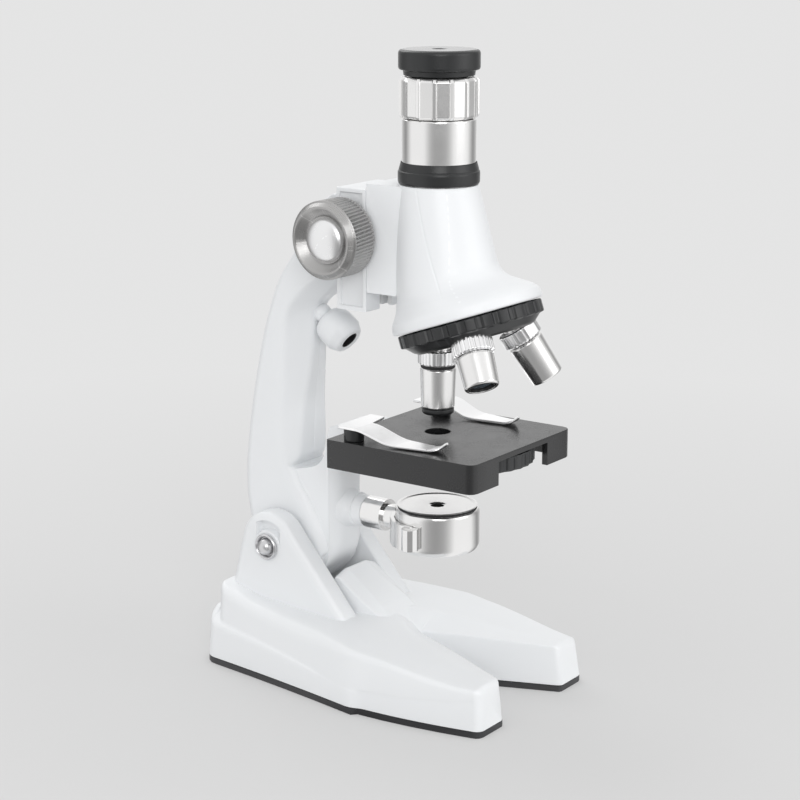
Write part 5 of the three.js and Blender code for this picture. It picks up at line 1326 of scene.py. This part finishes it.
    def turret_ring(self) -> Skin:
        """The turret's fluted rim and the cone under it.

        Returns:
            The surface.
        """
        top = -self.rim_distance - 0.3
        low = top - 4.7
        wall = [(self.turret_radius, h) for h in np.linspace(low + 0.3, top - 0.2, 6)]
        profile = [
            (0, low - 3.2), (self.hub_radius - 1.5, low - 3.2), (self.hub_radius + 0.3, low - 2.3),
            (self.turret_radius - 1.6, low - 0.1), *wall, (self.turret_radius - 1.4, top), (0, top),
        ]
        return turned(profile, self.turret_place(), 0.35, self.flutes * 16, self.flute)

    def ridge(self, angle: Array, height: Array, radius: Array) -> Array:
        """Fine flat ridges round an objective's collar, parted by narrow grooves."""
        groove = 0.5 + 0.5 * np.tanh(4 * (np.cos(self.collar_ridges * angle) - 0.1))
        return self.collar_depth * groove * np.clip((radius - self.collar_radius + 1.1) / 0.6, 0, 1)

    def objective(self, name: str, index: int) -> None:
        """One objective: ridged collar, tapered barrel, dark tip and front lens.

        Args:
            name: prefix of its pieces and frame nodes.
            index: which objective it is, from 0.
        """
        place = self.turret_place(index)
        tip = -self.tips[index]
        top = -self.collar_top
        low = top - self.collar_length
        wall = [(self.collar_radius, h) for h in np.linspace(low + 0.5, top - 0.3, 5)]
        collar = [
            (4.9, low), (self.collar_radius - 0.7, low), *wall, (self.collar_radius - 0.5, top), (4.9, top)
        ]
        grip = turned(collar, place, 0.15, self.collar_ridges * 14, self.ridge, closed=True)
        piece(f"{name}_grip", grip, Body.TURRET, BRIGHT, [f"{name}_collar"], sharp=50)
        shoulder = low - (0.3 if index else 1.1)
        # The first objective gets a dark ring under its collar that stands for the shade in the groove there:
        # painted shade.
        if not index:
            waist = self.barrel_top - 0.35
            band = [(4.8, shoulder), (waist, shoulder), (waist, low), (4.8, low)]
            piece(f"{name}_band", turned(band, place, 0.1, 80, closed=True), Body.TURRET, DARK)
        end = tip if index else tip + 2.2
        barrel = [
            (4.6, top + 5.6), (4.6, shoulder), (self.barrel_top - 0.4, shoulder),
            (self.barrel_top, shoulder - 0.6), (self.barrel_tip + 0.03, end + 0.5),
            (self.barrel_tip - 0.4, end), (4.75, end), (4.7, tip + 2.7), (3.6, tip + 2.7), (3.6, top + 5.6),
        ]
        piece(
            f"{name}_body", turned(barrel, place, 0.2, 96, closed=True), Body.TURRET, CHROME,
            [f"{name}_barrel"],
        )
        neck = 4.65
        brim = neck if index else self.barrel_tip - 0.2
        nose = [
            (4.0, tip + 2.6), (neck, tip + 2.6), (neck, tip + 2.15), (brim, tip + 2.1),
            (brim, tip + 0.9), (brim - 0.5, tip + 0.1), (4.1, tip + 0.1), (4.0, tip + 0.9),
        ]
        piece(f"{name}_nose", turned(nose, place, 0.2, 80, closed=True), Body.TURRET, BLACK)
        lens = [(0, tip + 2.2), (3.95, tip + 2.2), (3.95, tip + 1.3), (2.4, tip + 0.85), (0, tip + 0.7)]
        piece(f"{name}_front_lens", turned(lens, place, 0.3, 48), Body.TURRET, GLASS, [f"{name}_lens"])


# ---- Eyepiece ----
@dataclass
class Eyepiece:
    """The sliding tube with its collar, zoom ring and eyecup."""

    optic_y: float = OPTIC_Y
    tube_radius: float = 12.65
    ribs: int = 14
    first_rib: float = math.radians(207.5)
    rib_share: float = 0.042
    ramp: float = 0.03
    ring_radius: float = 13.6
    scallop: float = 0.62

    def build(self) -> None:
        """Builds and dresses the collar, tube, ring, cup and lens."""
        place = Place((0.0, self.optic_y, 0.0))
        collar = [
            (12.9, 180.2), (13.6, 180.2), (13.9, 180.9), (13.95, 183.8), (13.85, 184.5), (13.5, 184.75),
            (13.6, 185.0), (13.05, 187.0), (12.9, 187.4), (12.9, 187.5),
        ]
        piece(
            "tube_collar", turned(collar, place, 0.2, 128, closed=True), Body.HEAD, BLACK, ["ocular_collar"]
        )
        tube = [
            (9.7, 178), (12.6, 178), (self.tube_radius, 201.6), (12.3, 202), (11.2, 202), (11.2, 215.8),
            (9.7, 215.8),
        ]
        piece(
            "eyepiece_tube", turned(tube, place, 0.2, 128, closed=True), Body.EYEPIECE, CHROME,
            ["ocular_tube"],
        )
        piece("ribbed_ring", self.zoom_ring(place), Body.ZOOM, CHROME, ["zoom_ring"], sharp=35)
        cup = [
            (7.9, 210.4), (9.3, 210.4), (9.3, 216.3), (12.0, 216.3), (12.2, 218.0), (13.5, 218.3),
            (13.8, 218.9), (13.8, 223.8), (13.5, 224.5), (12.9, 224.8), (3.4, 224.8), (3.1, 224.3),
            (3.0, 222.1), (7.9, 222.1),
        ]
        piece("eyecup_ring", turned(cup, place, 0.3, 128, closed=True), Body.EYEPIECE, BLACK, ["eyecup"])
        face = [(2.2, 224.3), (12.5, 224.3), (12.7, 224.85), (12.2, 224.99), (2.8, 224.99), (2.3, 224.8)]
        piece("eyecup_face", turned(face, place, 0.15, 128, closed=True), Body.EYEPIECE, GLOSS)
        lens = [(0, 218.3), (4.5, 218.7), (7.5, 219.7), (7.5, 220.7), (4.1, 221.4), (0, 221.6)]
        piece("eyepiece_lens", turned(lens, place, 0.6, 64), Body.EYEPIECE, GLASS, ["eye_lens"])

    def zoom_ring(self, place: Place) -> Skin:
        """Narrow raised ribs with flat panels between them, both ends chamfered.

        Args:
            place: where it stands.

        Returns:
            The surface.
        """

        def panels(angle: Array, height: Array, radius: Array) -> Array:
            """Cuts the wall down to a chord between ribs: (r - depth) cos h / cos a, at a from its middle.

            Args:
                angle: round the axis.
                height: along the axis, which changes nothing.
                radius: the plain radius.

            Returns:
                What to take off the radius.
            """
            spacing = TAU / self.ribs
            off_rib = np.abs((angle - self.first_rib + spacing / 2) % spacing - spacing / 2)
            half = spacing / 2 - self.rib_share - self.ramp
            from_middle = np.clip(spacing / 2 - off_rib, 0, half)
            chord = (self.ring_radius - self.scallop) * math.cos(half) / np.cos(from_middle)
            ramp = np.clip((off_rib - self.rib_share) / self.ramp, 0, 1)
            return (self.ring_radius - chord) * ramp * np.clip(radius - 11.6, 0, 1)

        low, high = 202.3, 215.9
        wall = [(self.ring_radius, h) for h in (low + 1.0, low + 1.3, high - 1.5, high - 1.2)]
        profile = [(11.5, low), (12.9, low), *wall, (12.7, high), (11.5, high)]
        return turned(profile, place, 0.15, self.ribs * 64, panels, closed=True)


# ---- Stage ----
@dataclass
class Stage:
    """The black stage with its aperture wheel, posts and spring clips."""

    top: float = STAGE_TOP
    post_x: float = 26.4
    post_y: float = -5.2
    post_radius: float = 3.5
    post_height: float = 4.2
    clip_thickness: float = 0.8
    clip_tip_y: float = -41.5
    reaches: tuple[float, float] = (17.2, 10.6)
    wheel_y: float = -35.2
    wheel_radius: float = 22.4
    wheel_ribs: int = 44

    def build(self) -> None:
        """Builds and dresses the stage, its wheel, posts and clips."""
        refined("stage_bracket", "stage_shelf", Body.ARM, WHITE, bevel=0.5)
        refined("stage_plate", "stage_table", Body.ARM, STAGE_BLACK, bevel=0.3)
        refined("aperture_wheel", "aperture_disc", Body.APERTURE, BLACK, bevel=0.15)
        piece("aperture_rim", self.rim(), Body.APERTURE, BLACK, sharp=50)
        refined("aperture_screw", "aperture_axle", Body.ARM, SCREW, bevel=0.1)
        foot, seat, head = self.top - 1.5, self.top + 0.1, self.top + self.post_height - 0.1
        post = [
            (0, foot), (2.4, foot), (2.4, seat), (self.post_radius, seat), (self.post_radius, head), (0, head)
        ]
        for name, side in SIDES:
            place = Place((side * self.post_x, self.post_y, 0.0))
            piece(f"clip_stud_{name}", turned(post, place, 0.2, 64), Body.ARM, BLACK, [f"clip_post_{name}"])
            clip, body = self.clip(side), Body(f"clip_{name}")
            piece(f"spring_clip_{name}", clip, body, DOMED, [f"stage_clip_{name}"], sharp=35)

    def rim(self) -> Skin:
        """The aperture wheel's ribbed band.

        Returns:
            The surface.
        """

        def ribs(angle: Array, height: Array, radius: Array) -> Array:
            """Takes a rounded groove off the outer wall between the ribs."""
            wave = 0.5 + 0.5 * np.tanh(3 * (np.cos(self.wheel_ribs * angle) + 0.1))
            return 0.55 * wave * (radius > self.wheel_radius - 0.6)

        wall = [(self.wheel_radius, h) for h in (86.8, 88.6, 90.6)]
        profile = [
            (21.0, 86.3), (self.wheel_radius - 0.5, 86.3), *wall, (self.wheel_radius - 0.5, 91.1),
            (21.0, 91.1),
        ]
        return turned(profile, Place((0.0, self.wheel_y, 0.0)), 0.1, self.wheel_ribs * 12, ribs, closed=True)

    def clip(self, side: int) -> Skin:
        """One spring clip: a bent strip whose two edges follow its plan, from the head to the curled tip.

        Args:
            side: -1 for the left clip, 1 for the right.

        Returns:
            The surface.
        """
        low, high = self.top + 0.3, self.top + self.post_height
        bend = np.array(
            [
                (0.0, high), (-10.2, high), (-20.7, low), (self.clip_tip_y + 5.5, low),
                (self.clip_tip_y + 2.6, low + 0.7), (self.clip_tip_y + 0.3, low + 2.7),
            ]
        )
        path = soften(bend, [0, 2.5, 3.0, 1.2, 1.0, 0], 8)
        walk = walked(path)
        keep = np.append(True, np.diff(walk) > 1e-6)
        at = np.unique(np.concatenate([walk[keep], np.linspace(0, walk[-1], 90)]))
        y, z = (np.interp(at, walk[keep], path[keep, i]) for i in (0, 1))
        reach = self.reaches[0 if side < 0 else 1]
        outer = np.array(
            [
                (0.0, -2.0), (-0.6, -3.4), (-2.0, -3.7), (-12.0, -3.6), (-20.7, -2.2), (-37.2, 0.5),
                (-41.2, 3.3),
            ]
        )
        inner = np.array(
            [
                (0.0, reach - 0.3), (-5.8, reach - 0.3), (-6.2, reach - 0.9), (-7.8, 7.2), (-20.2, 8.0),
                (-38.0, 6.2), (-41.2, 4.7),
            ]
        )
        left = np.interp(-y, -outer[:, 0], outer[:, 1])
        right = np.interp(-y, -inner[:, 0], inner[:, 1])
        slope = np.stack([np.gradient(y, at), np.gradient(z, at)], -1)
        up = np.stack([slope[:, 1], -slope[:, 0]], -1)
        up *= np.sign(up[:, 1:]) / np.linalg.norm(up, axis=1, keepdims=True)
        edge, thick = 0.2, self.clip_thickness
        ring = [
            np.stack([-side * (x - self.post_x), y + up[:, 0] * rise, z + up[:, 1] * rise], -1)
            for x, rise in (
                (left + edge, 0.0), (left, edge), (left, thick - edge), (left + edge, thick),
                (right - edge, thick), (right, thick - edge), (right, edge), (right - edge, 0.0),
            )
        ]
        return Skin().grid(np.stack(ring, 1), ends=True)


# ---- Lamps ----
@dataclass
class Lamps:
    """The drum lamp under the stage and the small lamp on the arm."""

    optic_y: float = OPTIC_Y
    height: float = 59.4
    belly_front: float = 16.3
    drum_radius: float = 14.9
    drum_height: float = 16.2
    stage_top: float = STAGE_TOP
    spot_y: float = 28.2
    spot_height: float = 129.7
    spot_radius: float = 7.1
    spot_length: float = 14.9

    def build(self) -> None:
        """Builds and dresses both lamps."""
        self.lower()
        self.upper()

    def lower(self) -> None:
        """The yoke, drum, dished cover, mirror and diode."""
        place = Place((0.0, self.optic_y, 0.0))
        low, high = self.height - self.drum_height / 2, self.height + self.drum_height / 2
        refined("lamp_socket", "lamp_sleeve", Body.ARM, WHITE, bevel=0.3)
        skirt = [
            (5.3, -1.2), (7.6, -1.2), (6.9, 0.2), (6.45, 1.2), (6.3, 2.6), (6.22, 4.0), (6.0, 4.2), (5.3, 4.2)
        ]
        skirt_place = Place((0.0, self.belly_front, self.height), turn_x(QUARTER_TURN))
        piece("lamp_sleeve_foot", turned(skirt, skirt_place, 0.4, 96, closed=True), Body.ARM, WHITE, sharp=60)
        refined("lamp_yoke", "lamp_fork", Body.LAMP, CHROME, bevel=0.3)
        drum = [
            (10.4, low), (12.5, low), (14.1, low + 0.6), (self.drum_radius, low + 2.4),
            (self.drum_radius, high - 2.1), (14.55, high - 1.2), (13.9, high - 1.0), (13.0, high - 1.0),
            (13.0, high - 1.9), (11.9, high - 1.9), (11.9, low + 3), (10.4, low + 3),
        ]
        piece("drum_wall", turned(drum, place, 0.6, 128, closed=True), Body.LAMP, CHROME, ["lamp_drum"])
        cover = [
            (2.2, high - 1.5), (13.4, high - 1.5), (13.4, high - 0.35), (14.1, high - 0.3),
            (14.2, high - 0.1), (13.6, high), (12.4, high - 0.3), (3.0, high - 0.55), (2.2, high - 0.9),
        ]
        # A dark band under the cover's edge stands for the shadow in the gap between cover and drum: painted
        # shadow. A dark sleeve lines the cover's middle hole.
        band = [(12.0, high - 1.4), (14.0, high - 1.4), (14.0, high - 0.33), (12.0, high - 0.33)]
        sleeve = [(2.15, high - 3.4), (2.6, high - 3.4), (2.6, high - 0.95), (2.15, high - 0.95)]
        for name, rim in (("drum_cover_shadow_band", band), ("drum_cover_sleeve", sleeve)):
            piece(name, turned(rim, place, 0.1, 128, closed=True), Body.LAMP, DARK, sharp=60)
        piece("drum_cover", turned(cover, place, 0.3, 128, closed=True), Body.LAMP, CHROME, ["lamp_cover"])
        refined("lamp_mirror", "drum_mirror", Body.LAMP, MIRROR, bevel=0.0)
        refined("lamp_led", "drum_diode", Body.LAMP, DOME, bevel=0.0)

    def upper(self) -> None:
        """The arm's small lamp: a bulging white shell on its knuckle, with a dark mouth round the diode."""
        aim = math.atan2(self.spot_height - self.stage_top, self.spot_y - self.optic_y)
        place = Place((0.0, self.spot_y, self.spot_height), turn_x(QUARTER_TURN + aim))
        refined("spot_knuckle", "lamp_knuckle", Body.ARM, WHITE, bevel=0.0, sharp=60)
        long = self.spot_length
        shell = [
            (0, 3.0), (3.4, 2.4), (5.2, 2.9), (6.6, 4.4), (self.spot_radius, 7.0),
            (self.spot_radius, long - 3.4), (self.spot_radius - 1.5, long - 0.5), (4.9, long), (3.5, long),
            (3.3, long - 0.5), (3.3, 9), (0, 9),
        ]
        rounding = [0, 0.8, 1, 1.4, 1.6, 0.35, 0.3, 0.25, 0.2, 0.2, 0.2, 0]
        piece("arm_lamp_shell", turned(shell, place, rounding, 80), Body.SPOT, WHITE, ["spot_head"])
        liner = [(0, 9.1), (3.28, 9.1), (3.28, long - 0.3), (3.0, long - 0.3), (3.0, 9.7), (0, 9.7)]
        piece("arm_lamp_mouth", turned(liner, place, 0.1, 64), Body.SPOT, DARK, sharp=60)
        refined("spot_led", "arm_lamp_diode", Body.SPOT, DARK, bevel=0.0, sharp=60)


# ---- Room ----
def grey(level: float) -> tuple[float, float, float, float]:
    """A plain grey of a given brightness, with alpha 1."""
    return (level, level, level, 1.0)


@dataclass
class Studio:
    """The pale floor, the soft lamps and the camera.

    Metal shows a soft tent round the object: bright to the sides, and darker towards the camera and in a band
    a little behind the object's sides. The tent is seen by gloss alone and sheds no light.
    """

    camera_at: tuple[float, float, float] = (-570.18, -411.94, 272.84)
    forward: tuple[float, float, float] = (0.7913, 0.5638, -0.2365)
    lens: float = 92.33
    soft_level: float = 0.84
    backdrop: float = 0.78
    floor_level: float = 0.66
    floor_reach: float = 30.0
    aim: tuple[float, float, float] = (0.0, 0.0, 0.11)
    towards_camera: tuple[float, float, float] = (-0.8144, -0.5803, 0.0)
    # The soft lamps: name, place and side in metres, and power in watts.
    lamps: tuple[tuple[str, tuple[float, float, float], float, float], ...] = (
        ("key", (-0.95, -0.8, 0.62), 0.7, 4.1), ("fill", (0.3, -1.15, 0.45), 0.7, 1.9),
        ("rim", (0.35, 0.75, 0.85), 0.6, 1.8),
    )
    # How bright the tent is, by (1 + cosine of the angle from the camera's direction) / 2.
    tent: tuple[tuple[float, float], ...] = (
        (0.0, 1.0), (0.07, 0.6), (0.22, 0.28), (0.36, 0.7), (0.45, 1.0), (0.85, 1.0), (0.91, 0.72),
        (0.96, 0.48), (1.0, 0.36),
    )

    def build(self) -> None:
        """Builds the camera, world, floor and lamps."""
        bpy.context.scene.view_settings.view_transform = "Standard"
        self.camera()
        self.world()
        self.floor()
        for lamp in self.lamps:
            self.lamp(*lamp)

    def camera(self) -> None:
        """The camera, level across the view."""
        data = bpy.data.cameras.new("camera")
        data.lens = self.lens
        data.sensor_width = 36.0
        data.clip_start, data.clip_end = 0.01, 100.0
        made = bpy.data.objects.new("camera", data)
        made.location = Vector(self.camera_at) * MM
        made.rotation_mode = "QUATERNION"
        made.rotation_quaternion = Vector(self.forward).to_track_quat("-Z", "Y")
        bpy.context.scene.collection.objects.link(made)
        bpy.context.scene.camera = made

    def tent_level(self, nodes: NodeTree, place: Socket) -> Socket:
        """The tent's brightness in the direction of a point from the object's middle.

        Args:
            nodes: the tree that the nodes go into.
            place: a socket that gives the point or direction.

        Returns:
            The socket that gives the brightness.
        """
        level = nodes.add("ShaderNodeVectorMath", operation="MULTIPLY")
        level.inputs[1].default_value = (1.0, 1.0, 0.0)
        flat = nodes.add("ShaderNodeVectorMath", operation="NORMALIZE")
        towards = nodes.add("ShaderNodeVectorMath", operation="DOT_PRODUCT")
        towards.inputs[1].default_value = self.towards_camera
        nodes.link(place, level.inputs[0])
        nodes.link(level.outputs["Vector"], flat.inputs[0])
        nodes.link(flat.outputs["Vector"], towards.inputs[0])
        share = nodes.spread(towards.outputs["Value"], 0.0, 1.0, -1.0, 1.0)
        return nodes.ramp(share, [(at, (value,) * 3) for at, value in self.tent])

    def world(self) -> None:
        """Pale to the camera and through glass, the tent to gloss, and a soft level to everything else."""
        world = bpy.data.worlds.new("studio")
        bpy.context.scene.world = world
        nodes = NodeTree(world)
        path = nodes.add("ShaderNodeLightPath")
        straight = nodes.add("ShaderNodeMath", operation="MAXIMUM")
        source = nodes.add("ShaderNodeTexCoord").outputs["Generated"]
        upwards = nodes.add("ShaderNodeSeparateXYZ")
        background = nodes.add("ShaderNodeBackground")
        output = nodes.add("ShaderNodeOutputWorld")
        nodes.link(path.outputs["Is Camera Ray"], straight.inputs[0])
        nodes.link(path.outputs["Is Transmission Ray"], straight.inputs[1])
        plain = nodes.blend(straight.outputs[0], grey(self.soft_level), grey(self.backdrop))
        nodes.link(source, upwards.inputs[0])
        high_up = nodes.spread(upwards.outputs["Z"], 0.0, 1.0, 0.25, 0.7)
        gloss = nodes.blend(high_up, self.tent_level(nodes, source), grey(1.0))
        nodes.link(nodes.blend(path.outputs["Is Glossy Ray"], plain, gloss), background.inputs["Color"])
        nodes.link(background.outputs[0], output.inputs["Surface"])

    def floor(self) -> None:
        """A wide pale floor that fades to the backdrop away from the object, and shows gloss the tent."""
        reach = self.floor_reach
        corners = [(-reach, -reach, 0), (reach, -reach, 0), (reach, reach, 0), (-reach, reach, 0)]
        mesh = bpy.data.meshes.new("floor")
        mesh.from_pydata(corners, [], [(0, 1, 2, 3)])
        material = bpy.data.materials.new("pale_floor")
        nodes = NodeTree(material)
        output = nodes.add("ShaderNodeOutputMaterial")
        diffuse = nodes.add("ShaderNodeBsdfDiffuse")
        diffuse.inputs["Color"].default_value = grey(self.floor_level)
        glow = nodes.add("ShaderNodeEmission")
        path = nodes.add("ShaderNodeLightPath")
        source = nodes.add("ShaderNodeTexCoord").outputs["Object"]
        away = nodes.add("ShaderNodeVectorMath", operation="LENGTH")
        seen = nodes.add("ShaderNodeMath", operation="MULTIPLY")
        share = nodes.add("ShaderNodeMath", operation="MAXIMUM")
        mix = nodes.add("ShaderNodeMixShader")
        gloss = path.outputs["Is Glossy Ray"]
        nodes.link(source, away.inputs[0])
        nodes.link(nodes.spread(away.outputs["Value"], 0.3, 1.0, 0.12, 0.5), seen.inputs[0])
        nodes.link(path.outputs["Is Camera Ray"], seen.inputs[1])
        nodes.link(seen.outputs[0], share.inputs[0])
        nodes.link(gloss, share.inputs[1])
        tint = nodes.blend(gloss, grey(self.backdrop), self.tent_level(nodes, source))
        nodes.link(tint, glow.inputs["Color"])
        nodes.link(share.outputs[0], mix.inputs[0])
        nodes.link(diffuse.outputs[0], mix.inputs[1])
        nodes.link(glow.outputs[0], mix.inputs[2])
        nodes.link(mix.outputs[0], output.inputs["Surface"])
        mesh.materials.append(material)
        made = bpy.data.objects.new("floor", mesh)
        bpy.context.scene.collection.objects.link(made)

    def lamp(self, name: str, at: tuple[float, float, float], size: float, power: float) -> None:
        """A square soft lamp aimed at the middle of the object.

        Args:
            name: the lamp's name.
            at: where it hangs, in metres.
            size: its side, in metres.
            power: its power, in watts.
        """
        data = bpy.data.lights.new(name, "AREA")
        data.size = size
        data.energy = power
        made = bpy.data.objects.new(name, data)
        made.location = at
        made.rotation_mode = "QUATERNION"
        made.rotation_quaternion = (Vector(self.aim) - Vector(at)).to_track_quat("-Z", "Y")
        bpy.context.scene.collection.objects.link(made)


def main() -> None:
    """Builds the studio and the microscope, and reports each piece."""
    logging.basicConfig(level=logging.INFO, format="%(message)s")
    for part in (Studio(), Base(), Arm(), FocusDrive(), Head(), Eyepiece(), Stage(), Lamps()):
        part.build()
        LOG.info("built %s", type(part).__name__)


if __name__ == "__main__":
    main()
